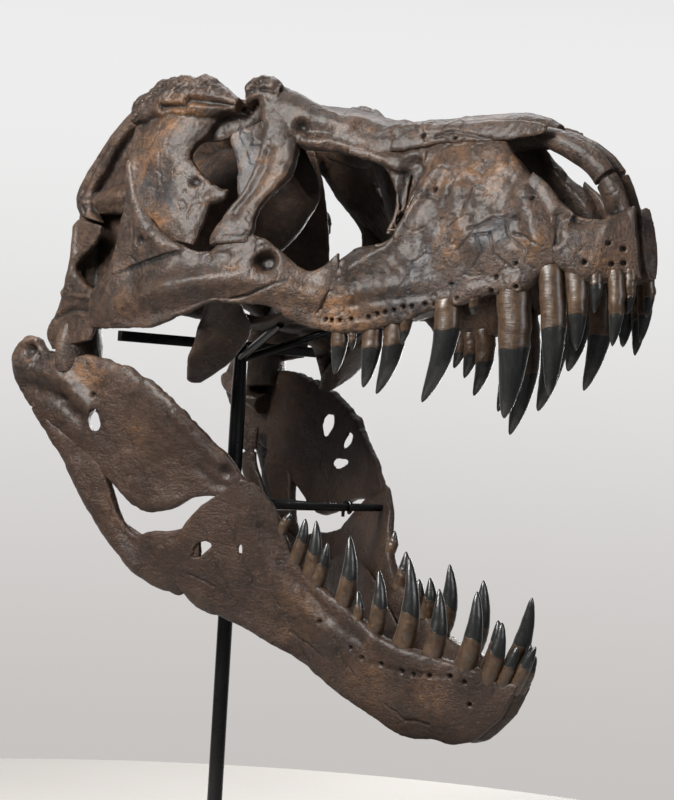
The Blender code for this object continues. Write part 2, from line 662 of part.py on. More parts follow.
def rod(name, start, end, radius, group, look):
    """A round rod between two points."""
    curve = bpy.data.curves.new(name, "CURVE")
    curve.dimensions = "3D"
    curve.bevel_depth = radius
    curve.bevel_resolution = 2
    curve.use_fill_caps = True
    line = curve.splines.new("POLY")
    line.points.add(1)
    for point, place in zip(line.points, (start, end)):
        point.co = (*place, 1.0)
    wire = bpy.data.objects.new(name, curve)
    group.objects.link(wire)
    graph = bpy.context.evaluated_depsgraph_get()
    data = bpy.data.meshes.new_from_object(wire.evaluated_get(graph))
    bpy.data.objects.remove(wire, do_unlink=True)
    mesh = bmesh.new()
    mesh.from_mesh(data)
    bmesh.ops.remove_doubles(mesh, verts=mesh.verts[:], dist=WELD)
    return put(name, mesh, group, look)


def bar(name, centre, size, group, look):
    mesh = bmesh.new()
    bmesh.ops.create_cube(mesh, size=1.0, matrix=Matrix.Translation(centre) @ Matrix.Diagonal((*size, 1.0)))
    return put(name, mesh, group, look)


def make_stand(group, look):
    """Base plate, pole, crossbar under the cheeks, struts to the palate, and the bar the jaws hang on."""
    base_size = (BASE_LENGTH, BASE_WIDTH, BASE_THICK)
    base = bar("base_plate", (BASE_FORWARD, 0, BASE_THICK / 2), base_size, group, look)
    pole = rod("pole", (0, 0, BASE_THICK + STEEL_GAP), (0, 0, POLE_TOP), POLE_RADIUS, group, look)
    cross_size = (CROSSBAR_DEEP, 2 * CROSSBAR_HALF, CROSSBAR_WIDE)
    cross = bar("crossbar", (CROSSBAR_BACK, 0, CROSSBAR_HEIGHT), cross_size, group, look)
    jaw_bar = rod("jaw_bar", (JAW_BAR_FORWARD, -JAW_BAR_HALF, JAW_BAR_HEIGHT),
                  (JAW_BAR_FORWARD, JAW_BAR_HALF, JAW_BAR_HEIGHT), ROD_RADIUS, group, look)
    arm = rod("jaw_arm", (POLE_RADIUS + STEEL_GAP, 0, JAW_BAR_HEIGHT),
              (JAW_BAR_FORWARD - ROD_RADIUS - STEEL_GAP, 0, JAW_BAR_HEIGHT), ROD_RADIUS, group, look)
    clip = bar("jaw_clip", (JAW_BAR_FORWARD, CLIP_LEFT, JAW_BAR_HEIGHT), CLIP_SIZE, group, look)
    cut_back(clip, jaw_bar)
    struts = []
    for side, sign in (("R", -1.0), ("L", 1.0)):
        foot = (0.0, sign * STRUT_APART, STRUT_FOOT)
        top = (STRUT_FORWARD, sign * STRUT_SPREAD, STRUT_TOP)
        struts.append(rod("strut_" + side, foot, top, ROD_RADIUS, group, look))
        cut_back(struts[-1], pole)
    return [base, pole, cross, jaw_bar, arm, clip, *struts]


def main():
    clear_scene()
    bones = collection("Tyrannosaur skull")
    bone_look = material("bone cast", BONE_COLOUR, 0.45, 0.0)
    steel_look = material("black steel", STEEL_COLOUR, 0.3, 0.4)
    midline, right = make_bones(bones, bone_look)
    part_bones(midline, right)
    set_teeth()
    cast = [obj for obj in bones.objects]
    for piece in make_stand(bones, steel_look):
        for bone in cast:
            cut_back(piece, bone)


main()
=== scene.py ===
"""Looks of a tyrannosaur skull, cast bone by bone, on its black steel stand.

Every bone is made of limbs: numpy surfaces of two parameters that follow the side of the head or a
path. The limbs of a bone are joined by a voxel remesh, smoothed, and then shaped by numpy noise and by
marks drawn in side view: ridges, pits, sutures and foramina. Metres, X to the snout, Y to the left.
"""

import json
import math

import bpy
import numpy as np
from mathutils import Matrix, Vector

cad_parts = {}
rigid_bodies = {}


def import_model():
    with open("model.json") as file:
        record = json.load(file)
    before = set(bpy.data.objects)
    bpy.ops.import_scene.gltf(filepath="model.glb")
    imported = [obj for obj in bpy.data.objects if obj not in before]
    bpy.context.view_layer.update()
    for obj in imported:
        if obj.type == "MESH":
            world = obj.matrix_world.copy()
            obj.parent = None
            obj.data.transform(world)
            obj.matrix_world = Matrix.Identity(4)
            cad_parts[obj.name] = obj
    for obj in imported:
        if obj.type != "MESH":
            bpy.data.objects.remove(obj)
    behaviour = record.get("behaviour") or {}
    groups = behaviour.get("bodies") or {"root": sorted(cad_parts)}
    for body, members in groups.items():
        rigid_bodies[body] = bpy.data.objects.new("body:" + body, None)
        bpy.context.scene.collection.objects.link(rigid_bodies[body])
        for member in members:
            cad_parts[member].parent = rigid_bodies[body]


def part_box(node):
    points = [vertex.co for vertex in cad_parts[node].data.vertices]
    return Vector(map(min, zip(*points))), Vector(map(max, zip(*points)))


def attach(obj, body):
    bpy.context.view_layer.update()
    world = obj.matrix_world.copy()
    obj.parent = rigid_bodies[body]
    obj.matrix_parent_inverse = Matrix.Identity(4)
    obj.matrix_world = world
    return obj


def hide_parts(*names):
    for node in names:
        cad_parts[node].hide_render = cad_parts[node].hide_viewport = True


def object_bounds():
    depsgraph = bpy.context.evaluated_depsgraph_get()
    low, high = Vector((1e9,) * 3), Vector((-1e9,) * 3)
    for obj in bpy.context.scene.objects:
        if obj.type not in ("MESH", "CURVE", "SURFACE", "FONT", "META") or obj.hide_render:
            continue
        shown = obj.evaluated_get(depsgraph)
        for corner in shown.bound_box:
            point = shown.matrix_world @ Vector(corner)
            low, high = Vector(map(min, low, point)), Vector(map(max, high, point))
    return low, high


bl_info = {
    "name": "Tyrannosaur skull cast",
    "version": (1, 0, 0),
    "blender": (4, 5, 0),
    "location": "3D View > Sidebar > Skull",
    "description": "Builds the cast bones, teeth and black stand of a mounted tyrannosaur skull",
    "category": "Add Mesh",
}

for startup in list(bpy.data.objects):
    bpy.data.objects.remove(startup, do_unlink=True)
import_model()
CAD_BOX = [list(corner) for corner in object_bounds()]

# The pose of the head and the jaw about the jaw joint
JOINT_HEIGHT, JOINT_BEHIND_POLE = 1.10, 0.205
NOSE_UP, JAW_OPEN = math.radians(7.6), math.radians(33.75)
MIDLINE_GAP = 0.001

# The stand
POLE_RADIUS, POLE_FOOT, POLE_TOP = 0.0165, 0.0154, 1.205
JAW_BAR_FORWARD, JAW_BAR_HEIGHT, JAW_BAR_HALF, ROD_RADIUS = 0.275, 0.865, 0.19, 0.0085
CLIP_LEFT, CLIP_RADIUS, CLIP_WIRE, CLIP_TAIL = 0.075, 0.0125, 0.0042, 0.021
STRUT_FOOT, STRUT_TOP, STRUT_FORWARD, STRUT_SPREAD, STRUT_APART = 1.170, 1.245, 0.20, 0.085, 0.004
BASE_ROUNDING, BAR_ROUNDING, ROD_NECK = 0.003, 0.0015, 0.18
HARD_EDGE = math.radians(35)

# How finely things are made, and how much coarser some bones are
VOXEL = 0.0028
COARSER = {"braincase": 1.45, "quadrate": 1.35, "pterygoid": 1.35}
PLATE_STEP = 0.008
RING_POINTS = 36
SMOOTHINGS = 4
FIELD_STEP, FIELD_BLUR = 0.01, 3.0
BIG_PRIMES = (73856093, 19349663, 83492791, 2654435761)
LATTICE = np.random.default_rng(7).uniform(-1.0, 1.0, 65536)
MADE = []

# The camera of the photograph
CAMERA_PLACE = (3.754, -3.679, 1.057)
CAMERA_ANGLES = (43.22, 0.40, 3.39)
CAMERA_LENS = 107.6
FLOOR_HEIGHT = -0.001

# The lights: name, place, what they point at, diameter, colour
LIGHTS = [("Key", (-0.25, -2.80, 3.0), (0.40, 0.0, 1.1), 1.7, (1.0, 0.98, 0.95)),
          ("Side", (3.2, -0.6, 1.9), (0.6, 0.0, 1.0), 1.2, (0.95, 0.97, 1.0)),
          ("Top", (-0.4, 0.9, 3.6), (0.4, 0.0, 1.2), 1.6, (1.0, 1.0, 1.0)),
          ("Back", (-1.3, 2.9, 1.5), (0.2, 0.0, 1.2), 1.8, (1.0, 0.99, 0.97))]

# Half width of the head and of the jaw, by x, at each of these heights above the jaw joint
HEAD_HEIGHTS = (0.0, 0.2, 0.4, 0.5, 0.62)
HEAD_HALF_WIDTHS = {
    -0.12: (0.320, 0.320, 0.290, 0.270, 0.250),
    0.00: (0.330, 0.335, 0.305, 0.290, 0.260),
    0.20: (0.360, 0.350, 0.320, 0.305, 0.265),
    0.35: (0.365, 0.340, 0.315, 0.300, 0.250),
    0.50: (0.290, 0.295, 0.250, 0.220, 0.180),
    0.65: (0.215, 0.215, 0.180, 0.150, 0.100),
    0.83: (0.175, 0.170, 0.110, 0.060, 0.030),
    1.05: (0.150, 0.128, 0.066, 0.040, 0.020),
    1.18: (0.125, 0.098, 0.056, 0.030, 0.020),
    1.26: (0.085, 0.075, 0.045, 0.020, 0.010),
    1.31: (0.020, 0.020, 0.015, 0.010, 0.005),
}
JAW_HEIGHTS = (-0.30, -0.10, 0.10)
JAW_HALF_WIDTHS = {
    -0.15: (0.335, 0.345, 0.340),
    0.00: (0.315, 0.335, 0.330),
    0.10: (0.300, 0.320, 0.310),
    0.30: (0.265, 0.295, 0.290),
    0.50: (0.200, 0.225, 0.222),
    0.70: (0.130, 0.150, 0.140),
    0.90: (0.095, 0.120, 0.112),
    1.05: (0.055, 0.085, 0.080),
    1.15: (0.020, 0.045, 0.045),
    1.19: (0.005, 0.012, 0.012),
}

# The plate bones, by station: one edge (x, z), the other edge (x, z), thickness
PLATES = {
    "maxilla": [
        [(.602, .118, .608, .066, .024), (.652, .148, .652, .044, .030), (.702, .184, .706, .032, .034),
         (.742, .206, .756, .032, .038), (.792, .212, .806, .038, .040), (.836, .242, .846, .044, .042)],
        [(.820, .352, .832, .044, .034), (.866, .408, .886, .052, .040), (.936, .416, .954, .064, .044),
         (1.020, .402, 1.042, .078, .046), (1.058, .356, 1.068, .077, .046), (1.098, .310, 1.102, .076, .046),
         (1.140, .260, 1.142, .102, .044), (1.172, .182, 1.170, .118, .036)],
        [(.866, .398, .858, .346, .030), (.806, .396, .812, .352, .026), (.756, .404, .762, .380, .020),
         (.700, .426, .700, .404, .014)],
    ],
    "lacrimal": [
        [(.484, .584, .582, .512, .046), (.500, .526, .584, .474, .044), (.516, .474, .592, .424, .040),
         (.514, .412, .588, .384, .036), (.496, .352, .562, .346, .032), (.466, .308, .534, .312, .030),
         (.440, .268, .524, .262, .028), (.436, .240, .524, .234, .024)],
        [(.488, .590, .522, .506, .050), (.548, .568, .570, .456, .048), (.612, .530, .620, .428, .042),
         (.660, .500, .672, .416, .036), (.712, .484, .716, .400, .030), (.756, .462, .750, .388, .024),
         (.796, .446, .786, .396, .012)],
        [(.466, .580, .476, .536, .040), (.484, .602, .494, .548, .056), (.514, .598, .512, .542, .052),
         (.540, .574, .536, .536, .036)],
    ],
    "postorbital": [
        [(.220, .584, .218, .530, .040), (.260, .612, .272, .538, .060), (.316, .626, .324, .538, .070),
         (.364, .616, .374, .528, .072), (.400, .610, .410, .520, .070), (.440, .578, .446, .524, .060),
         (.476, .548, .470, .526, .036)],
        [(.216, .556, .440, .542, .048), (.206, .488, .404, .474, .042), (.208, .438, .382, .440, .036),
         (.212, .386, .406, .394, .032), (.236, .350, .434, .364, .028), (.294, .312, .436, .326, .024),
         (.336, .268, .418, .280, .020), (.376, .250, .408, .240, .012)],
        [(.404, .398, .402, .332, .028), (.436, .368, .442, .328, .024), (.470, .352, .464, .332, .012)],
        [(.210, .406, .292, .390, .030), (.204, .350, .254, .346, .022), (.196, .304, .220, .314, .012)],
    ],
    "squamosal": [
        [(.242, .588, .222, .522, .034), (.182, .570, .184, .524, .036), (.126, .526, .142, .488, .036),
         (.084, .484, .112, .448, .036), (.022, .418, .074, .404, .038), (.020, .384, .082, .360, .036),
         (.038, .358, .118, .330, .026)],
        [(.032, .348, .046, .408, .034), (.088, .356, .088, .406, .034), (.140, .348, .140, .410, .030),
         (.190, .345, .194, .408, .024), (.214, .352, .218, .400, .012)],
    ],
    "quadratojugal": [
        [(.034, .350, .122, .322, .014), (.024, .326, .108, .294, .020), (.018, .256, .040, .250, .024),
         (.002, .216, .064, .208, .026), (-.024, .170, .116, .178, .028), (-.056, .136, .128, .148, .026),
         (-.072, .106, .110, .112, .026), (-.050, .074, .092, .078, .016)],
    ],
    "jugal": [
        [(.106, .178, .100, .106, .016), (.156, .218, .152, .096, .026), (.216, .266, .222, .088, .030),
         (.296, .282, .308, .084, .034), (.368, .250, .372, .100, .036), (.430, .228, .424, .116, .040),
         (.462, .252, .462, .116, .040), (.514, .256, .506, .112, .040), (.554, .240, .554, .102, .036),
         (.580, .214, .590, .078, .032), (.606, .186, .612, .070, .030)],
        [(.592, .198, .584, .078, .030), (.634, .166, .634, .054, .026), (.672, .176, .668, .108, .018),
         (.700, .196, .700, .150, .012)],
        [(.158, .202, .384, .236, .032), (.174, .250, .350, .262, .030), (.192, .300, .304, .300, .028),
         (.206, .350, .260, .350, .024), (.208, .400, .236, .400, .018), (.212, .450, .224, .444, .010)],
    ],
    "premaxilla": [
        [(1.158, .222, 1.164, .124, .026), (1.202, .212, 1.210, .086, .044),
         (1.244, .200, 1.240, .074, .048), (1.272, .206, 1.266, .076, .046),
         (1.294, .214, 1.292, .076, .040), (1.308, .220, 1.314, .078, .030)],
        [(1.206, .212, 1.192, .176, .022), (1.174, .244, 1.160, .204, .020),
         (1.148, .276, 1.132, .246, .016), (1.112, .308, 1.100, .284, .010)],
    ],
}
PLATE_INSETS = {"squamosal": 0.004, "quadratojugal": 0.006, "postorbital": -0.004}

# The jaw's plate bones, in the same way, drawn with the mouth shut
JAW_PLATES = {
    "dentary": [
        [(.488, .036, .432, -.060, .014), (.508, .038, .410, -.130, .018), (.526, .038, .410, -.215, .024),
         (.566, .020, .480, -.274, .030),
         (.606, -.018, .560, -.264, .034), (.645, -.054, .650, -.256, .036),
         (.700, -.078, .748, -.253, .038),
         (.789, -.084, .863, -.264, .042), (.904, -.094, .966, -.263, .042),
         (.981, -.075, 1.018, -.260, .042),
         (1.035, -.059, 1.076, -.228, .042), (1.095, -.045, 1.116, -.214, .042),
         (1.150, -.040, 1.152, -.178, .038),
         (1.184, -.018, 1.180, -.110, .026)],
    ],
    "surangular": [
        [(-.168, .008, -.170, -.040, .028), (-.150, .034, -.138, -.074, .036),
         (-.122, .038, -.108, -.090, .038), (-.090, .028, -.064, -.102, .038),
         (-.036, .050, -.020, -.118, .042), (.051, .084, .045, -.118, .042),
         (.143, .106, .117, -.120, .038), (.235, .108, .200, -.132, .036),
         (.315, .100, .268, -.146, .034), (.385, .080, .326, -.141, .030),
         (.440, .065, .380, -.098, .026), (.490, .036, .410, -.054, .022), (.506, .022, .460, -.024, .018),
         (.522, .006, .486, -.040, .010)],
    ],
    "angular": [
        [(-.060, -.086, -.056, -.104, .010), (.030, -.100, .050, -.150, .024),
         (.100, -.098, .136, -.204, .030), (.165, -.108, .212, -.240, .032),
         (.206, -.146, .268, -.262, .032), (.254, -.192, .316, -.280, .030),
         (.306, -.206, .356, -.288, .030), (.352, -.174, .404, -.284, .026),
         (.398, -.142, .450, -.266, .022), (.440, -.092, .472, -.180, .014)],
    ],
}

# The deep bones, by station: x, y, z, half width across the path, half depth
STRUTS = {
    "quadrate": [
        [(.002, -.284, .018, .060, .034), (.004, -.284, .064, .062, .036),
         (.008, -.280, .106, .055, .034), (.018, -.266, .152, .036, .026),
         (.028, -.262, .234, .034, .022), (.034, -.264, .334, .034, .022),
         (.046, -.268, .400, .026, .020)],
        [(.014, -.262, .224, .012, .060), (.054, -.224, .206, .008, .055),
         (.098, -.180, .192, .006, .030)],
    ],
    "pterygoid": [
        [(.114, -.164, .202, .010, .050), (.174, -.110, .168, .016, .036),
         (.256, -.080, .128, .026, .022),
         (.358, -.076, .100, .034, .014), (.478, -.070, .112, .034, .010),
         (.598, -.044, .140, .020, .010),
         (.698, -.026, .170, .012, .008)],
        [(.296, -.090, .122, .020, .014), (.314, -.150, .072, .024, .016),
         (.304, -.184, .006, .022, .012)],
    ],
    "ectopterygoid": [
        [(.432, -.270, .152, .030, .030), (.412, -.244, .114, .040, .024),
         (.382, -.216, .066, .060, .018),
         (.324, -.204, .018, .056, .015), (.272, -.200, -.020, .020, .010)],
    ],
    "palatine": [
        [(.562, -.184, .112, .020, .014), (.642, -.150, .112, .036, .012),
         (.742, -.110, .128, .040, .010),
         (.830, -.070, .152, .020, .008), (.880, -.044, .162, .010, .006)],
    ],
}
JAW_STRUTS = {
    "articular": [
        [(.022, -.276, -.016, .030, .026), (-.010, -.280, -.020, .044, .022),
         (-.060, -.288, -.025, .040, .024),
         (-.120, -.298, -.035, .028, .020), (-.152, -.300, -.030, .014, .014)],
    ],
    "prearticular": [
        [(.020, -.262, -.080, .010, .026), (.060, -.260, -.150, .010, .026),
         (.130, -.254, -.195, .009, .026),
         (.200, -.246, -.232, .009, .028), (.300, -.226, -.240, .008, .030),
         (.400, -.200, -.222, .008, .030), (.480, -.178, -.190, .006, .024)],
    ],
    "splenial": [
        [(.490, -.165, -.185, .006, .036), (.560, -.142, -.170, .007, .060),
         (.660, -.106, -.165, .007, .058),
         (.780, -.078, -.180, .006, .040), (.900, -.058, -.190, .006, .020)],
    ],
}

# The bones on the midline
MIDLINE = {
    "braincase": [
        [(.514, .000, .530, .060, .018), (.442, .000, .542, .140, .022), (.372, .000, .550, .190, .026),
         (.300, .000, .550, .150, .030), (.240, .000, .546, .056, .050), (.158, .000, .548, .034, .075),
         (.076, .000, .550, .040, .090), (.036, .000, .552, .060, .092)],
        [(.416, .000, .446, .040, .100), (.316, .000, .398, .062, .130), (.204, .000, .366, .078, .150),
         (.104, .000, .348, .085, .150), (.028, .000, .350, .075, .110), (-.022, .000, .332, .042, .042),
         (-.052, .000, .328, .028, .028)],
        [(.060, -.236, .446, .022, .050), (.046, -.130, .494, .026, .085), (.036, .000, .522, .030, .105),
         (.040, .130, .508, .026, .085), (.050, .236, .474, .022, .050)],
        [(.030, -.262, .324, .014, .040), (.042, -.150, .350, .022, .050), (.052, .000, .370, .030, .070),
         (.034, .150, .370, .022, .050), (.018, .262, .356, .014, .040)],
        [(.226, -.084, .138, .018, .018), (.206, .000, .204, .040, .040), (.220, .084, .150, .018, .018)],
    ],
    "nasals": [
        [(.474, .000, .546, .104, .014), (.576, .000, .512, .112, .022), (.668, .000, .472, .104, .028),
         (.762, .000, .438, .098, .032), (.852, .000, .424, .096, .038), (.944, .000, .416, .078, .040),
         (1.026, .000, .410, .056, .036), (1.076, .000, .400, .036, .030),
         (1.118, .000, .386, .018, .022)],
    ],
    "vomer": [
        [(.718, .000, .176, .018, .010), (.860, .000, .156, .022, .012), (1.002, .000, .142, .020, .012),
         (1.124, .000, .134, .040, .010), (1.194, .000, .126, .030, .008)],
    ],
}
NASAL_FORK = [(1.262, .205, .015, .029), (1.246, .262, .015, .026), (1.212, .314, .016, .025),
              (1.166, .350, .017, .024), (1.122, .376, .018, .022), (1.078, .396, .016, .014)]

# Deeper plates on the side bones: the wing of the quadrate behind the openings, and the orbit's roof
DEEP_PLATES = {
    "quadrate": (.062, [(.010, .112, .120, .108, .016), (.020, .170, .196, .176, .018),
                        (.026, .240, .236, .250, .018), (.050, .400, .256, .404, .016),
                        (.150, .530, .250, .536, .012)]),
    "postorbital": (.030, [(.250, .584, .262, .520, .024), (.320, .580, .340, .484, .024),
                           (.390, .572, .402, .470, .024), (.450, .556, .446, .478, .022),
                           (.500, .540, .496, .506, .016)]),
    "lacrimal": (.034, [(.416, .524, .490, .534, .014), (.428, .478, .500, .480, .018),
                        (.442, .440, .510, .440, .020), (.454, .400, .514, .400, .020),
                        (.458, .362, .506, .352, .018), (.468, .325, .482, .316, .010)]),
    "maxilla": (.016, [(.740, .394, .800, .398, .012), (.764, .372, .840, .366, .016),
                       (.784, .340, .862, .340, .018), (.798, .300, .866, .302, .018),
                       (.796, .262, .856, .262, .018), (.784, .226, .826, .226, .014)]),
    "squamosal": (.032, [(.150, .530, .224, .560, .014), (.108, .490, .218, .500, .018),
                         (.074, .440, .212, .446, .018), (.058, .398, .208, .404, .018),
                         (.074, .366, .200, .372, .014)]),
}

# The nasals' flanks, down to the suture with the maxilla
NASAL_FLANK = [(.742, .454, .748, .404, .012), (.800, .452, .808, .397, .018),
               (.890, .439, .890, .400, .020), (.980, .434, .978, .390, .020),
               (1.050, .425, 1.048, .384, .016), (1.092, .414, 1.088, .382, .012),
               (1.132, .398, 1.128, .384, .006)]

# The left eye socket's horn sits lower than the right one, in the head's own frame
HORN_DROP = 0.046
HORN_AT, HORN_REACH = 0.525, 0.09
HORN_FOOT, HORN_CROWN = 0.50, 0.58

# The left cheek's bar stands further forward than the right one, which widens the opening behind it
WINDOW_HEIGHTS = (.18, .26, .34, .43, .50)
WINDOW_SHIFTS = (0.0, .104, .094, .035, 0.0)
WINDOW_FRONT, WINDOW_REACH = .44, .22
WINDOW_BONES = ("postorbital", "jugal")

# Teeth of each side: x, length out of the bone, width along the row, backward lean, share that is root
UPPER_TEETH = {
    "R": [(.682, .084, .030, .019, .38), (.716, .036, .016, .004, .50), (.752, .110, .036, .030, .33),
          (.801, .130, .040, .056, .29), (.836, .050, .022, .022, .45), (.921, .176, .046, .077, .23),
          (.990, .030, .024, .004, .60), (1.062, .242, .058, .036, .46), (1.145, .234, .046, .018, .46)],
    "L": [(.690, .050, .026, .022, .35), (.728, .072, .030, .024, .35), (.776, .116, .036, .036, .40),
          (.862, .170, .044, .042, .45), (.906, .230, .050, .050, .48), (.992, .204, .050, .050, .45),
          (1.060, .140, .046, .030, .40), (1.128, .200, .046, .050, .48)],
}
FRONT_TEETH = {
    "R": [(1.197, .145, .036, .007, .55), (1.238, .056, .022, .008, .04), (1.266, .122, .030, .016, .53),
          (1.288, .062, .022, .008, .50)],
    "L": [(1.197, .130, .036, .010, .50), (1.236, .130, .030, .012, .50), (1.266, .110, .028, .014, .50),
          (1.288, .066, .022, .008, .45)],
}
LOWER_TEETH = {
    "R": [(.595, .030, .020, -.006, .55), (.644, .076, .026, .018, .45), (.680, .098, .030, .038, .42),
          (.703, .082, .026, .014, .45),
          (.773, .122, .034, .052, .42), (.824, .042, .022, .028, .45), (.865, .106, .032, .050, .45),
          (.932, .158, .038, .072, .42),
          (.998, .122, .036, .049, .42), (1.066, .142, .036, .045, .42), (1.118, .106, .032, .024, .45),
          (1.146, .080, .024, .002, .45),
          (1.168, .086, .024, -.006, .45)],
    "L": [(.625, .026, .020, .010, .45), (.710, .062, .028, .020, .45), (.776, .040, .024, .018, .45),
          (.820, .066, .030, .030, .45),
          (.876, .128, .036, .046, .42), (.980, .140, .038, .040, .42), (1.050, .078, .032, .026, .45),
          (1.112, .160, .034, .022, .42),
          (1.146, .080, .024, .004, .45), (1.168, .060, .022, -.002, .45)],
}
TOOTH_ROOT = 0.022
TOOTH_FLATNESS, TOOTH_STOUT, TOOTH_SEAT = 0.84, 1.24, 0.008
TOOTH_INSET = 0.55
TOOTH_TAPER, TOOTH_BLUNTNESS = 2.4, 0.60
COLLAR_HEIGHT, COLLAR_REACH, TOOTH_BOW = 0.045, 0.014, 0.035
TOOTH_ROW_TOP = 0.15

# How far openings run backwards and downwards for each metre inwards
HEAD_SLANT, JAW_SLANT = (-.92, .12), (-.84, -.41)

# Openings through a bone, in side view: middle (x, z), half sizes, turn in degrees
HOLES = {
    "surangular": [(.116, -.031, .015, .026, 20)],
    "surangular_L": [(.203, .032, .015, .026, 10), (.284, .035, .010, .020, 0),
                     (.291, -.021, .022, .011, 35)],
    "dentary": [(.467, -.144, .014, .030, -35), (.547, -.099, .006, .015, 25)],
    "dentary_L": [(.372, -.135, .020, .012, 40)],
    "maxilla": [(.852, .280, .006, .026, -38), (.828, .250, .008, .013, -38)],
}

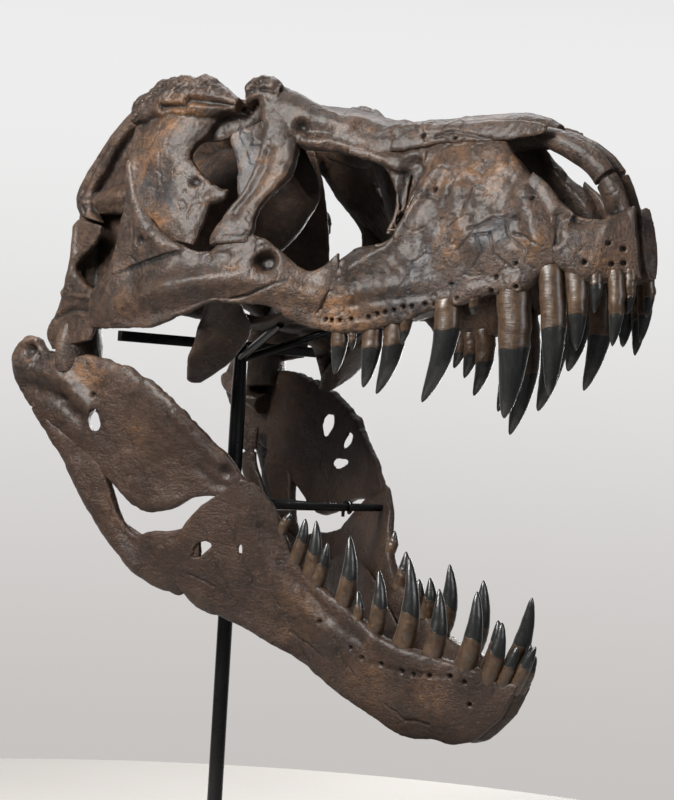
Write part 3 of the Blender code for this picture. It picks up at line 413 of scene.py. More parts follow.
# Marks in side view: the line they follow, width, height (down where negative), steepness of the sides
MARKS = {
    "jugal": [
        (((.557, .192),), .021, -.024, 5), (((.268, .268),), .010, -.009, 4),
        (((.300, .150), (.378, .160), (.472, .166), (.556, .146), (.620, .122), (.670, .100)), .024, .010, 2),
        (((.200, .140), (.300, .150), (.400, .165)), .034, .005, 2),
        (((.212, .440), (.236, .370), (.270, .300), (.330, .245)), .014, .005, 2),
        (((.240, .104), (.360, .112), (.424, .126), (.507, .128)), .022, -.009, 2),
        (((.260, .220), (.330, .225), (.420, .200), (.480, .200)), .030, -.007, 2),
        (((.190, .250), (.230, .210), (.250, .170)), .020, -.004, 2),
        (((.479, .120), (.538, .131), (.574, .143), (.600, .150)), .003, -.005, 3),
        (((.250, .300), (.240, .240), (.280, .190)), .003, -.0015, 3),
        (((.470, .244), (.512, .250), (.550, .236)), .010, .004, 2),
    ],
    "maxilla": [
        (((.900, .345), (.882, .315), (.852, .262), (.826, .214), (.784, .186), (.727, .156)), .016, .007, 2),
        (((.840, .355), (.822, .305), (.812, .262), (.785, .222)), .024, -.014, 4),
        (((.940, .340), (.960, .250), (.990, .180)), .030, .006, 2),
        (((.880, .200), (.915, .130), (.940, .100)), .024, -.005, 2),
        (((1.095, .270), (1.120, .220), (1.140, .165)), .022, .010, 2),
        (((1.049, .177),), .034, .005, 2),
        (((1.070, .290), (1.050, .240)), .024, -.005, 2),
        (((.680, .085), (.780, .092), (.905, .092)), .012, -.004, 2),
        (((.640, .052), (.700, .040), (.780, .042), (.850, .048)), .012, .004, 2),
        (((.960, .066), (1.020, .082), (1.090, .084)), .016, .006, 2),
        (((.720, .100), (.860, .112)), .018, .003, 2),
        (((.990, .205), (1.009, .212), (1.038, .223), (1.067, .225), (1.099, .212)), .0024, -.0034, 3),
        (((1.090, .186), (1.122, .169), (1.150, .150)), .0024, -.0030, 3),
        (((.961, .169), (.994, .192), (1.037, .195)), .0024, -.0030, 3),
        (((1.037, .195), (1.045, .150), (1.080, .120)), .0022, -.0026, 3),
        (((.940, .215), (.975, .240), (.985, .290)), .0022, -.0022, 3),
        (((1.000, .130), (1.020, .160), (1.010, .190)), .0022, -.0026, 3),
        (((1.060, .225), (1.080, .180), (1.110, .150)), .0022, -.0026, 3),
    ],
    "lacrimal": [
        (((.594, .474),), .013, -.018, 3), (((.610, .462), (.650, .452)), .010, -.006, 2),
        (((.578, .445), (.582, .395), (.558, .345), (.534, .300), (.520, .263)), .012, .006, 2),
        (((.535, .430), (.536, .390), (.516, .345), (.488, .300)), .014, -.006, 2),
        (((.560, .530), (.620, .495), (.690, .465)), .018, .005, 2),
        (((.600, .440), (.660, .430), (.730, .404)), .008, .004, 2),
        (((.476, .560), (.500, .566), (.530, .560)), .006, -.006, 2),
    ],
    "postorbital": [
        (((.305, .548), (.361, .541), (.373, .556), (.438, .540), (.465, .526)), .008, -.012, 3),
        (((.330, .560), (.350, .590), (.400, .580)), .006, -.003, 2),
        (((.245, .600), (.300, .590)), .008, -.004, 2),
        (((.398, .374),), .010, -.009, 3), (((.300, .350), (.330, .410)), .026, -.005, 2),
        (((.420, .470), (.392, .445), (.398, .405), (.440, .366)), .012, .005, 2),
        (((.225, .520), (.222, .460), (.224, .400)), .012, .006, 2),
        (((.250, .480), (.300, .440)), .030, .004, 2), (((.240, .345), (.300, .320)), .012, .004, 2),
    ],
    "squamosal": [(((.120, .500), (.090, .462), (.050, .410)), .010, -.006, 2),
                  (((.050, .380), (.120, .380), (.200, .378)), .014, .008, 2),
                  (((.040, .395), (.060, .360)), .008, -.006, 2)],
    "quadratojugal": [(((.030, .330), (.036, .250), (.020, .200)), .012, .007, 2),
                      (((-.040, .140), (.030, .150), (.100, .140)), .006, -.005, 2),
                      (((.000, .190), (.060, .176), (.110, .168)), .008, .005, 2)],
    "nasals": [(((.881, .412), (.910, .421), (.964, .406), (1.002, .390)), .004, -.003, 3),
               (((.760, .440), (.800, .452), (.850, .446)), .010, .004, 2)],
    "premaxilla": [(((1.190, .205), (1.225, .196), (1.260, .214)), .016, -.010, 2),
                   (((1.268, .200), (1.262, .150), (1.250, .110)), .012, .004, 2),
                   (((1.172, .210), (1.176, .160)), .008, -.006, 2)],
    "dentary": [
        (((.520, .000), (.560, -.060), (.672, -.130), (.795, -.163)), .026, .007, 2),
        (((.570, -.030), (.650, -.090), (.760, -.118), (.860, -.124)), .012, -.006, 2),
        (((.396, -.250), (.539, -.240), (.686, -.236)), .018, .005, 2),
        (((.900, -.150), (.970, -.130), (1.060, -.084)), .007, -.003, 2),
        (((1.000, -.200), (1.080, -.160)), .040, .007, 2), (((.880, -.105), (1.000, -.094)), .016, .005, 2),
        (((.440, -.215), (.520, -.205)), .003, -.003, 3), (((.700, -.200), (.790, -.205)), .003, -.003, 3),
        (((.820, -.170), (.880, -.200)), .0022, -.0022, 3),
        (((.500, -.060), (.540, -.100), (.600, -.150)), .0022, -.0022, 3),
        (((.640, -.150), (.700, -.190), (.760, -.235)), .0022, -.0022, 3),
        (((.460, -.100), (.500, -.150), (.560, -.200)), .0022, -.0022, 3),
        (((.960, -.210), (1.010, -.215), (1.060, -.190)), .0026, -.003, 3),
    ],
    "surangular": [
        (((-.130, -.034), (-.075, -.014), (-.015, .006), (.050, -.006), (.090, -.014)), .022, .014, 2),
        (((-.100, -.066), (-.030, -.044), (.030, -.040), (.080, -.050)), .018, -.010, 2),
        (((.012, -.034),), .012, -.008, 3), (((-.120, .010),), .012, -.012, 3),
        (((-.146, .020), (-.128, .034)), .012, .006, 2), (((-.096, .010), (-.084, -.020)), .008, -.006, 2),
        (((.300, .085), (.380, .060), (.440, .040)), .012, .006, 2), (((.452, .034),), .014, -.010, 3),
        (((.100, .082), (.200, .088), (.300, .076)), .034, .005, 2),
        (((.160, -.030), (.260, -.040), (.340, -.040)), .050, -.008, 2),
        (((.240, -.130), (.320, -.124), (.390, -.070)), .010, .003, 2),
        (((.400, .010), (.440, .000), (.470, .008)), .010, -.005, 2),
    ],
    "angular": [(((.105, -.150), (.170, -.205), (.250, -.246), (.330, -.270)), .018, .006, 2),
                (((.200, -.160), (.250, -.204), (.306, -.222)), .014, -.006, 2)],
}

# Foramina: small round holes, their radius and depth
FORAMEN_RADIUS, FORAMEN_DEPTH = 0.0046, -0.008
FORAMINA = {
    "maxilla": [(.669, .063), (.681, .060), (.699, .058), (.724, .058), (.762, .058), (.782, .062),
                (.800, .064), (.819, .066), (.840, .070), (.858, .069), (.886, .070), (.907, .068),
                (.948, .103), (.960, .074), (1.005, .071), (1.049, .105), (1.036, .081), (1.092, .127),
                (1.091, .082), (1.120, .250), (.900, .300)],
    "premaxilla": [(1.227, .114), (1.270, .107), (1.288, .108), (1.267, .147), (1.289, .135)],
    "dentary": [(.846, -.150), (.879, -.153), (.922, -.140), (.969, -.127), (.994, -.120), (1.025, -.103),
                (1.063, -.079), (1.093, -.074), (1.120, -.110), (.760, -.140)],
    "nasals": [(.923, .404), (.850, .420), (.700, .440)],
    "surangular": [(.090, .015)],
}

# Stains and painted shade in side view: middle (x, z), radius, how tan, how grey
STAINS_AND_SHADE = {
    "maxilla": [(.690, .070, .045, 1.0, 0), (.740, .050, .050, .7, 0), (.930, .340, .050, .8, 0),
                (1.020, .330, .050, .8, 0), (.950, .200, .045, .7, 0), (.905, .190, .035, 0, .9),
                (.885, .130, .035, 0, .8), (.840, .090, .040, 0, .7), (1.030, .185, .040, 0, .9),
                (1.060, .200, .030, 0, .8), (1.130, .160, .040, .5, 0), (.960, .110, .030, 0, .5)],
    "postorbital": [(.330, .530, .040, .8, 0), (.300, .300, .040, .9, 0), (.270, .450, .050, .5, 0),
                    (.380, .540, .030, .8, 0), (.260, .380, .050, 0, .5), (.330, .350, .040, 0, .5)],
    # The lacrimal's two full grey spots at the orbit wall are painted shade
    "lacrimal": [(.560, .330, .040, .5, 0), (.540, .400, .040, .5, 0), (.470, .440, .050, 0, 1.0),
                 (.480, .380, .040, 0, 1.0)],
    "jugal": [(.230, .140, .030, .6, 0), (.640, .110, .050, .5, 0), (.420, .190, .050, 0, .4)],
    "premaxilla": [(1.260, .120, .040, .4, 0)],
    "dentary": [(.700, -.150, .070, .5, 0), (.900, -.180, .060, .5, 0), (1.040, -.140, .050, .6, 0),
                (.840, -.140, .030, 0, .8)],
    "surangular": [(.060, .040, .050, .5, 0), (.250, .000, .060, .3, 0)],
    "angular": [(.240, -.200, .040, .3, 0), (.330, -.250, .040, 0, .6)],
}

# How ragged a bone's edges are, and how rough its surface is, in metres
RAGGED = {"postorbital": .0055, "surangular": .0045, "quadratojugal": .0040, "dentary": .0025,
          "lacrimal": .0025, "maxilla": .0030, "jugal": .0025, "angular": .0030}
ROUGHNESS = {"postorbital": .0007, "lacrimal": .0006, "maxilla": .0009, "dentary": .0005, "nasals": .0009,
             "premaxilla": .0005}
LUMPS = {"postorbital": .0014, "lacrimal": .0012, "nasals": .0018, "braincase": .0030}
PLAIN_ROUGHNESS, PLAIN_LUMPS, PLAIN_RAGGED = .0006, .0012, .0012
BOSS_FOOT, BOSS_RISE, BOSS_KNOBS = .545, .03, .0034
FINE_RELIEF, BROAD_RELIEF = .0012, .0045
LIMB_INSETS = {("postorbital", 0): -.022, ("lacrimal", 2): -.004, ("jugal", 2): -.005, ("squamosal", 1): .016,
               ("angular", 0): .003, ("premaxilla", 0): .001}


class Side:
    """Half width of one side of the head or jaw, as a smooth function of x and z.

    The table is read in straight lines on a fine grid, and the grid is blurred by a bell curve both ways.
    """

    def __init__(self, table, heights):
        self.x = np.arange(-0.35, 1.55, FIELD_STEP)
        self.z = np.arange(-0.55, 0.85, FIELD_STEP)
        columns = [np.interp(self.x, list(table), column) for column in zip(*table.values())]
        grid = np.array([np.interp(self.z, heights, row) for row in np.transpose(columns)])
        reach = int(3 * FIELD_BLUR)
        bell = np.exp(-0.5 * (np.arange(-reach, reach + 1) / FIELD_BLUR) ** 2)
        bell /= bell.sum()
        for axis in (0, 1):
            edges = [(reach, reach) if axis == k else (0, 0) for k in (0, 1)]
            padded = np.pad(grid, edges, mode="edge")
            grid = np.apply_along_axis(np.convolve, axis, padded, bell, mode="valid")
        self.grid = grid
        self.slope_x, self.slope_z = np.gradient(grid, FIELD_STEP)

    def read(self, grid, x, z):
        """Grid value between its four nearest points, in proportion to nearness."""
        u = np.clip((x - self.x[0]) / FIELD_STEP, 0, len(self.x) - 1.001)
        v = np.clip((z - self.z[0]) / FIELD_STEP, 0, len(self.z) - 1.001)
        i, j = u.astype(int), v.astype(int)
        u, v = u - i, v - j
        low = grid[i, j] * (1 - v) + grid[i, j + 1] * v
        high = grid[i + 1, j] * (1 - v) + grid[i + 1, j + 1] * v
        return low * (1 - u) + high * u

    def width(self, x, z):
        return self.read(self.grid, x, z)

    def outward(self, x, z):
        """Unit normal of the right side's surface y = minus width: minus (slope x, one, slope z)."""
        slopes = self.read(self.slope_x, x, z), self.read(self.slope_z, x, z)
        normal = -np.stack([slopes[0], np.ones_like(slopes[0]), slopes[1]], axis=-1)
        return normal / np.linalg.norm(normal, axis=-1, keepdims=True)


HEAD_SIDE = Side(HEAD_HALF_WIDTHS, HEAD_HEIGHTS)
JAW_SIDE = Side(JAW_HALF_WIDTHS, JAW_HEIGHTS)


def joint_pose(pitch):
    """From a bone's own frame, with the jaw joint at its origin, to the stand's."""
    joint = Matrix.Translation((-JOINT_BEHIND_POLE, 0.0, JOINT_HEIGHT))
    return np.array(joint @ Matrix.Rotation(-pitch, 4, "Y"))


HEAD_POSE = joint_pose(NOSE_UP)
JAW_POSE = joint_pose(NOSE_UP - JAW_OPEN)


def placed(points, pose):
    return points @ pose[:3, :3].T + pose[:3, 3]


def noise(points, size, seed):
    """Smooth noise from minus one to one: random values at a lattice's corners, blended by 3f^2 - 2f^3."""
    scaled = points / size + 31.7 * (seed % 97)
    cell = np.floor(scaled).astype(np.int64)
    f = scaled - cell
    f = f * f * (3.0 - 2.0 * f)
    total = np.zeros(len(points))
    for corner in np.ndindex(2, 2, 2):
        key = np.zeros(len(points), np.int64)
        for place, prime in zip((cell + corner).T, BIG_PRIMES):
            key ^= place * prime
        key = (key ^ (seed * BIG_PRIMES[3])) & 0xFFFF
        weight = np.prod(np.where(corner, f, 1.0 - f), axis=1)
        total += weight * LATTICE[key]
    return total


def layered(points, size, seed, layers=4):
    """Noise summed over layers, each half the size and half the height of the one before."""
    return sum(noise(points, size / 2 ** k, seed + k) / 2 ** k for k in range(layers))


def cracks(points, size, width, seed):
    """One in the middle of a crack and nought away from it: cracks are where warped noise crosses nought."""
    warp = np.stack([noise(points, size / 3, seed + k) for k in (11, 12, 13)], axis=1)
    value = noise(points + warp * size / 4, size, seed)
    return np.clip(1.0 - np.abs(value) / width, 0.0, 1.0)


def resampled(rows, path, step):
    """Rows at even steps of the path, along a Catmull-Rom curve through the given rows."""
    rows, path = np.asarray(rows, float), np.asarray(path, float)
    ends = np.vstack([2 * rows[0] - rows[1], rows, 2 * rows[-1] - rows[-2]])
    reach = np.concatenate([[0.0], np.cumsum(np.linalg.norm(np.diff(path, axis=0), axis=1))])
    count = max(int(reach[-1] / step), 4)
    where = np.interp(np.linspace(0.0, reach[-1], count), reach, np.arange(len(rows)))
    i = np.minimum(where.astype(int), len(rows) - 2)
    t = (where - i)[:, None]
    a, b, c, d = (ends[i + k] for k in range(4))
    bend = (2 * a - 5 * b + 4 * c - d) * t ** 2 + (3 * b - a - 3 * c + d) * t ** 3
    return 0.5 * (2 * b + (c - a) * t + bend)


def enclosed(rings):
    """Six times the volume within closed rings: the sum of corner . (corner x corner) over its triangles."""
    beside = np.roll(rings, -1, axis=1)
    a, b, c, d = rings[:-1], beside[:-1], beside[1:], rings[1:]
    walls = (a * (np.cross(b, c) + np.cross(c, d))).sum()
    first, last = rings[0], rings[-1]
    caps = (last.mean(axis=0) * np.cross(last, beside[-1])).sum()
    caps -= (first.mean(axis=0) * np.cross(first, beside[0])).sum()
    return walls + caps


def loft(rings):
    """Points and faces of a closed surface through rings of like point count, with a face on each end."""
    rings = np.asarray(rings)
    count, around, _ = rings.shape
    index = np.arange(count * around).reshape(count, around)
    near = np.roll(index, -1, axis=1)
    quads = np.stack([index[:-1], near[:-1], near[1:], index[1:]], axis=-1).reshape(-1, 4)
    faces = quads.tolist() + [index[0, ::-1].tolist(), index[-1].tolist()]
    if enclosed(rings - rings.mean(axis=(0, 1))) < 0.0:
        faces = [face[::-1] for face in faces]
    return rings.reshape(-1, 3), faces


def plate(rows, side, inset, ragged, seed):
    """A plate with its outer face on the side of the head.

    Round the section, the share of the way from one edge to the other is half of one minus cosine, and the
    height is the root of sine; the point lies under the side's surface by height less one, times half the
    thickness.
    """
    rows = np.array(rows)
    rows = resampled(rows, rows[:, :4].reshape(-1, 2, 2).mean(axis=1), PLATE_STEP)
    angle = np.linspace(0.0, 2 * math.pi, RING_POINTS, endpoint=False)
    share = 0.5 - 0.5 * np.cos(angle)
    height = np.sign(np.sin(angle)) * np.abs(np.sin(angle)) ** 0.5
    first, second = rows[:, 0:2], rows[:, 2:4]
    across = second - first
    across /= np.linalg.norm(across, axis=1, keepdims=True) + 1e-9
    for edge, sign, salt in ((first, -1.0, 5), (second, 1.0, 9)):
        flat = np.column_stack([edge, np.zeros(len(edge))])
        edge += across * (sign * ragged * layered(flat, 0.022, seed + salt, 3))[:, None]
    x, z = (first[:, None] + share[None, :, None] * (second - first)[:, None]).transpose(2, 0, 1)
    surface = np.stack([x, inset - side.width(x, z), z], axis=-1)
    offset = (height[None, :] - 1.0) * np.abs(rows[:, 4:5]) / 2
    points = surface + offset[..., None] * side.outward(x, z)
    points[..., 1] = np.minimum(points[..., 1], -MIDLINE_GAP)
    return loft(points)


def path_frames(path, turn=(-1.0, 0.0, 0.0)):
    """Unit directions level and upright to a path: level is along crossed with up, or turn where steep."""
    along = np.gradient(path, axis=0)
    along /= np.linalg.norm(along, axis=1, keepdims=True)
    level = np.cross(along, (0.0, 0.0, 1.0))
    steep = np.linalg.norm(level, axis=1) < 0.5
    level[steep] = np.cross(along[steep], turn)
    level /= np.linalg.norm(level, axis=1, keepdims=True)
    return level, np.cross(level, along)


def strut(rows, step=PLATE_STEP, around=28):
    """An ellipse along a smooth path: cosine times half width level, sine times half depth upright."""
    rows = np.array(rows)
    rows = resampled(rows, rows[:, :3], step)
    level, upright = path_frames(rows[:, :3])
    angle = np.linspace(0.0, 2 * math.pi, around, endpoint=False)[None, :, None]
    ring = (np.cos(angle) * level[:, None] * np.abs(rows[:, 3, None, None])
            + np.sin(angle) * upright[:, None] * np.abs(rows[:, 4, None, None]))
    return loft(rows[:, None, :3] + ring)


def mesh_from(name, points, faces):
    mesh = bpy.data.meshes.new(name)
    mesh.from_pydata(np.asarray(points).tolist(), [], faces)
    mesh.update()
    return mesh


def quad_mesh(name, points, quads):
    """A smooth-shaded mesh from arrays of points and four-cornered faces."""
    mesh = bpy.data.meshes.new(name)
    mesh.vertices.add(len(points))
    mesh.vertices.foreach_set("co", points.astype(np.float32).ravel())
    mesh.loops.add(quads.size)
    mesh.loops.foreach_set("vertex_index", quads.astype(np.int32).ravel())
    mesh.polygons.add(len(quads))
    mesh.polygons.foreach_set("loop_start", np.arange(0, quads.size, 4, dtype=np.int32))
    mesh.polygons.foreach_set("use_smooth", np.ones(len(quads), bool))
    mesh.update(calc_edges=True)
    return mesh


def mesh_points(mesh):
    points = np.empty(len(mesh.vertices) * 3, np.float32)
    mesh.vertices.foreach_get("co", points)
    return points.reshape(-1, 3)


def linked(name, mesh):
    obj = bpy.data.objects.new(name, mesh)
    bpy.context.scene.collection.objects.link(obj)
    return obj


def evaluated(obj):
    """The object's mesh with its modifiers made part of it."""
    graph = bpy.context.evaluated_depsgraph_get()
    return bpy.data.meshes.new_from_object(obj.evaluated_get(graph))


def joined(limbs):
    """Points and faces of several limbs as one list."""
    points, faces, start = [], [], 0
    for limb_points, limb_faces in limbs:
        points.append(limb_points)
        faces += [[corner + start for corner in face] for face in limb_faces]
        start += len(limb_points)
    return np.concatenate(points), faces


def drilled(limb, holes, side, slant):
    """The limb with elliptical openings cut through it, slanting by (x, z) for each metre inwards."""
    points, faces = limb
    low, high = points.min(axis=0), points.max(axis=0)
    for x, z, half_x, half_z, turn in holes:
        if not (low[0] - half_x < x < high[0] + half_x and low[2] - half_z < z < high[2] + half_z):
            continue
        angle = np.linspace(0.0, 2 * math.pi, 24, endpoint=False)
        wobble = 1.0 + 0.10 * np.sin(3 * angle + x * 90) + 0.06 * np.sin(5 * angle + z * 70)
        u, v = np.cos(angle) * half_x * wobble, np.sin(angle) * half_z * wobble
        c, s = math.cos(math.radians(turn)), math.sin(math.radians(turn))
        ring = np.column_stack([x + c * u - s * v, np.zeros(24), z + s * u + c * v])
        middle = side.width(np.array([x]), np.array([z]))[0]
        ends = [ring + (slant[0] * reach, -middle + reach, slant[1] * reach) for reach in (-0.04, 0.09)]
        body = linked("limb", mesh_from("limb", points, faces))
        drill = linked("drill", mesh_from("drill", *loft(ends)))
        cut = body.modifiers.new("Opening", "BOOLEAN")
        cut.operation, cut.solver, cut.object = "DIFFERENCE", "EXACT", drill
        mesh = evaluated(body)
        points = mesh_points(mesh).astype(float)
        faces = [list(face.vertices) for face in mesh.polygons]
        for spent in (body, drill):
            bpy.data.objects.remove(spent, do_unlink=True)
    return points, faces


def remeshed(limbs, voxel):
    """Limbs joined into one skin of even four-cornered faces."""
    obj = linked("limbs", mesh_from("limbs", *joined(limbs)))
    remesh = obj.modifiers.new("Skin", "REMESH")
    remesh.mode = "VOXEL"
    remesh.voxel_size = voxel
    mesh = evaluated(obj)
    points = mesh_points(mesh).astype(float)
    corners = np.empty(len(mesh.loops), np.int32)
    mesh.loops.foreach_get("vertex_index", corners)
    bpy.data.objects.remove(obj, do_unlink=True)
    return points, corners.reshape(-1, 4)


class Skin:
    """A remeshed bone: points, faces, and how each point is joined to its neighbours."""

    def __init__(self, points, quads):
        self.points, self.quads = points, quads
        pairs = np.concatenate([quads[:, [k, (k + 1) % 4]] for k in range(4)])
        pairs.sort(axis=1)
        keys = np.unique(pairs[:, 0].astype(np.int64) * len(points) + pairs[:, 1])
        self.ends = keys // len(points), keys % len(points)
        self.count = np.bincount(np.concatenate(self.ends), minlength=len(points)).clip(1)

    def near_mean(self, values):
        """Mean of each point's neighbours, for one value or a vector a point."""
        columns = np.atleast_2d(values.T)
        size = len(self.points)
        sums = [np.bincount(self.ends[0], column[self.ends[1]], size)
                + np.bincount(self.ends[1], column[self.ends[0]], size) for column in columns]
        return (np.array(sums) / self.count).T.reshape(values.shape)

    def smoothed(self, points, times):
        for _ in range(times):
            points = 0.5 * points + 0.5 * self.near_mean(points)
        return points

    def eased(self, points, times):
        """Smoothed without shrinking: each pull towards the neighbours is followed by a push away."""
        for _ in range(times):
            points = points + 0.60 * (self.near_mean(points) - points)
            points = points - 0.62 * (self.near_mean(points) - points)
        return points

    def normals(self, points):
        corners = points[self.quads]
        face = np.cross(corners[:, 2] - corners[:, 0], corners[:, 3] - corners[:, 1])
        size = len(points)
        total = [np.bincount(self.quads.ravel(), np.repeat(face[:, k], 4), size) for k in range(3)]
        total = np.array(total).T
        return total / (np.linalg.norm(total, axis=1, keepdims=True) + 1e-12)


def distance_to_line(x, z, line):
    """Distance in side view from each point to the nearest stretch of a drawn line."""
    line = np.array(line)
    if len(line) == 1:
        return np.hypot(x - line[0, 0], z - line[0, 1])
    best = np.full(len(x), 1e9)
    for start, end in zip(line[:-1], line[1:]):
        span = end - start
        share = ((x - start[0]) * span[0] + (z - start[1]) * span[1]) / (span @ span)
        share = np.clip(share, 0.0, 1.0)
        best = np.minimum(best, np.hypot(x - start[0] - share * span[0], z - start[1] - share * span[1]))
    return best


def mark_heights(name, points, facing, seed):
    """Height of all marks at each point, on the faces that look outwards."""
    wander = np.stack([noise(points, 0.02, seed + k) for k in (41, 42)], axis=1) * 0.003
    x, z = points[:, 0] + wander[:, 0], points[:, 2] + wander[:, 1]
    total = np.zeros(len(points))
    for line, width, height, steepness in MARKS.get(name, []):
        total += height * np.exp(-(distance_to_line(x, z, line) / width) ** steepness)
    for spot in FORAMINA.get(name, []):
        away = np.hypot(points[:, 0] - spot[0], points[:, 2] - spot[1])
        total += FORAMEN_DEPTH * np.exp(-(away / FORAMEN_RADIUS) ** 4)
    return total * facing


def stain_and_shade_amounts(name, points, facing, seed):
    """How tan and how grey each point is: soft round stains, and some painted shade, broken up by noise."""
    amounts = np.zeros((2, len(points)))
    broken = 1.0 + 0.9 * layered(points, 0.03, seed + 61, 3)
    for x, z, radius, *strengths in STAINS_AND_SHADE.get(name, []):
        away = np.hypot(points[:, 0] - x, points[:, 2] - z) / radius
        soft = np.clip(1.35 - away, 0.0, 1.0) * facing * broken
        amounts += np.array(strengths)[:, None] * soft
    return np.clip(amounts, 0.0, 1.0)


def horn_let_down(points):
    """The left horn over the eye socket sits lower than the right one."""
    near = np.clip(1.0 - np.abs(points[:, 0] - HORN_AT) / HORN_REACH, 0.0, 1.0)
    high = np.clip((points[:, 2] - HORN_FOOT) / (HORN_CROWN - HORN_FOOT), 0.0, 1.0)
    lowered = points.copy()
    lowered[:, 2] -= HORN_DROP * near * near * (3 - 2 * near) * high
    return lowered


def window_widened(points):
    """The left cheek's bar stands further forward than the right one, most at its rear edge."""
    share = np.clip((WINDOW_FRONT - points[:, 0]) / WINDOW_REACH, 0.0, 1.0)
    moved = points.copy()
    moved[:, 0] += share * np.interp(points[:, 2], WINDOW_HEIGHTS, WINDOW_SHIFTS)
    return moved


def weathered(name, skin, seed):
    """The bone's skin shaped by noise and marks, and what its material reads at each point."""
    points, normal = skin.points, skin.normals(skin.points)
    facing = np.clip(-normal[:, 1] * 1.8, 0.0, 1.0) if name not in MIDLINE else np.ones(len(points))
    rough = ROUGHNESS.get(name, PLAIN_ROUGHNESS)
    height = LUMPS.get(name, PLAIN_LUMPS) * layered(points, 0.075, seed, 3)
    height += rough * layered(points, 0.016, seed + 5, 3)
    height -= 2.2 * rough * cracks(points, 0.055, 0.07, seed + 9) * (noise(points, 0.12, seed + 3) > -0.1)
    height += mark_heights(name, points, facing, seed)
    if name in ("postorbital", "lacrimal"):
        boss = np.clip((points[:, 2] - BOSS_FOOT) / BOSS_RISE, 0.0, 1.0)
        height += boss * BOSS_KNOBS * layered(points, 0.014, seed + 21, 3)
    shaped = points + normal * height[:, None]
    normal = skin.normals(shaped)
    fine = ((shaped - skin.smoothed(shaped, 4)) * normal).sum(axis=1)
    broad = ((shaped - skin.smoothed(shaped, 26)) * normal).sum(axis=1)
    relief = np.clip(fine / FINE_RELIEF * 0.5 + broad / BROAD_RELIEF * 0.5, -1.0, 1.0)
    tan, grey = stain_and_shade_amounts(name, shaped, facing, seed)
    return shaped, {"relief": relief, "tan": tan, "grey": grey}


def add_values(obj, key, values):
    """One number a point, which the material reads by its key."""
    layer = obj.data.attributes.new(key, "FLOAT", "POINT")
    layer.data.foreach_set("value", values.astype(np.float32))


def finished(obj, look, slot, *nodes):
    """The piece's material, the body it rides on, and the CAD nodes it stands for; the slot is not used."""
    obj.data.materials.clear()
    obj.data.materials.append(look)
    MADE.append(obj.name)
    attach(obj, "root")
    if nodes:
        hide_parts(*nodes)
    return obj


def place_bone(name, piece_name, skin, seed, pose, mirror, look):
    """One cast bone put in its place, with its attributes, in place of its CAD node."""
    points, amounts = weathered(name, skin, seed)
    quads = skin.quads
    if mirror:
        if name in ("lacrimal", "postorbital"):
            points = horn_let_down(points)
        if name in WINDOW_BONES:
            points = window_widened(points)
        points = points * (1.0, -1.0, 1.0)
        quads = quads[:, ::-1]
    obj = linked("cast_" + piece_name, quad_mesh(piece_name + "_form", placed(points, pose), quads))
    for key, values in amounts.items():
        add_values(obj, key, values)
    return finished(obj, look, "bone_cast", piece_name)


def bone_skin(name, limbs, holes, side, sign=1.0):
    """The limbs of one bone, drilled and joined, with its steps smoothed away."""
    slant = sign * np.array(JAW_SLANT if side is JAW_SIDE else HEAD_SLANT)
    limbs = [drilled(limb, holes, side, slant) for limb in limbs]
    points, quads = remeshed(limbs, VOXEL * COARSER.get(name, 1.0))
    skin = Skin(points, quads)
    skin.points = skin.eased(points, SMOOTHINGS)
    return skin


def place_pair(name, limbs, side, pose, seed):
    """The right bone and its mirror image, weathered differently; some left bones have their own openings."""
    look = bpy.data.materials["bone cast"]
    skin = bone_skin(name, limbs, HOLES.get(name, []), side)
    place_bone(name, name + "_R", skin, seed, pose, False, look)
    if name + "_L" in HOLES:
        skin = bone_skin(name, limbs, HOLES[name + "_L"], side, -1.0)
    place_bone(name, name + "_L", skin, seed + 500, pose, True, look)


def plate_limbs(name, table, side, seed):
    ragged = RAGGED.get(name, PLAIN_RAGGED)
    limbs = []
    for k, rows in enumerate(table[name]):
        inset = PLATE_INSETS.get(name, 0.0) + LIMB_INSETS.get((name, k), 0.0)
        limbs.append(plate(rows, side, inset, ragged, seed + 7 * k))
    return limbs + deep_limbs(name, seed)


def deep_limbs(name, seed):
    """The deeper plate of a bone that has one."""
    if name not in DEEP_PLATES:
        return []
    inset, rows = DEEP_PLATES[name]
    return [plate(rows, HEAD_SIDE, inset, PLAIN_RAGGED, seed + 90)]


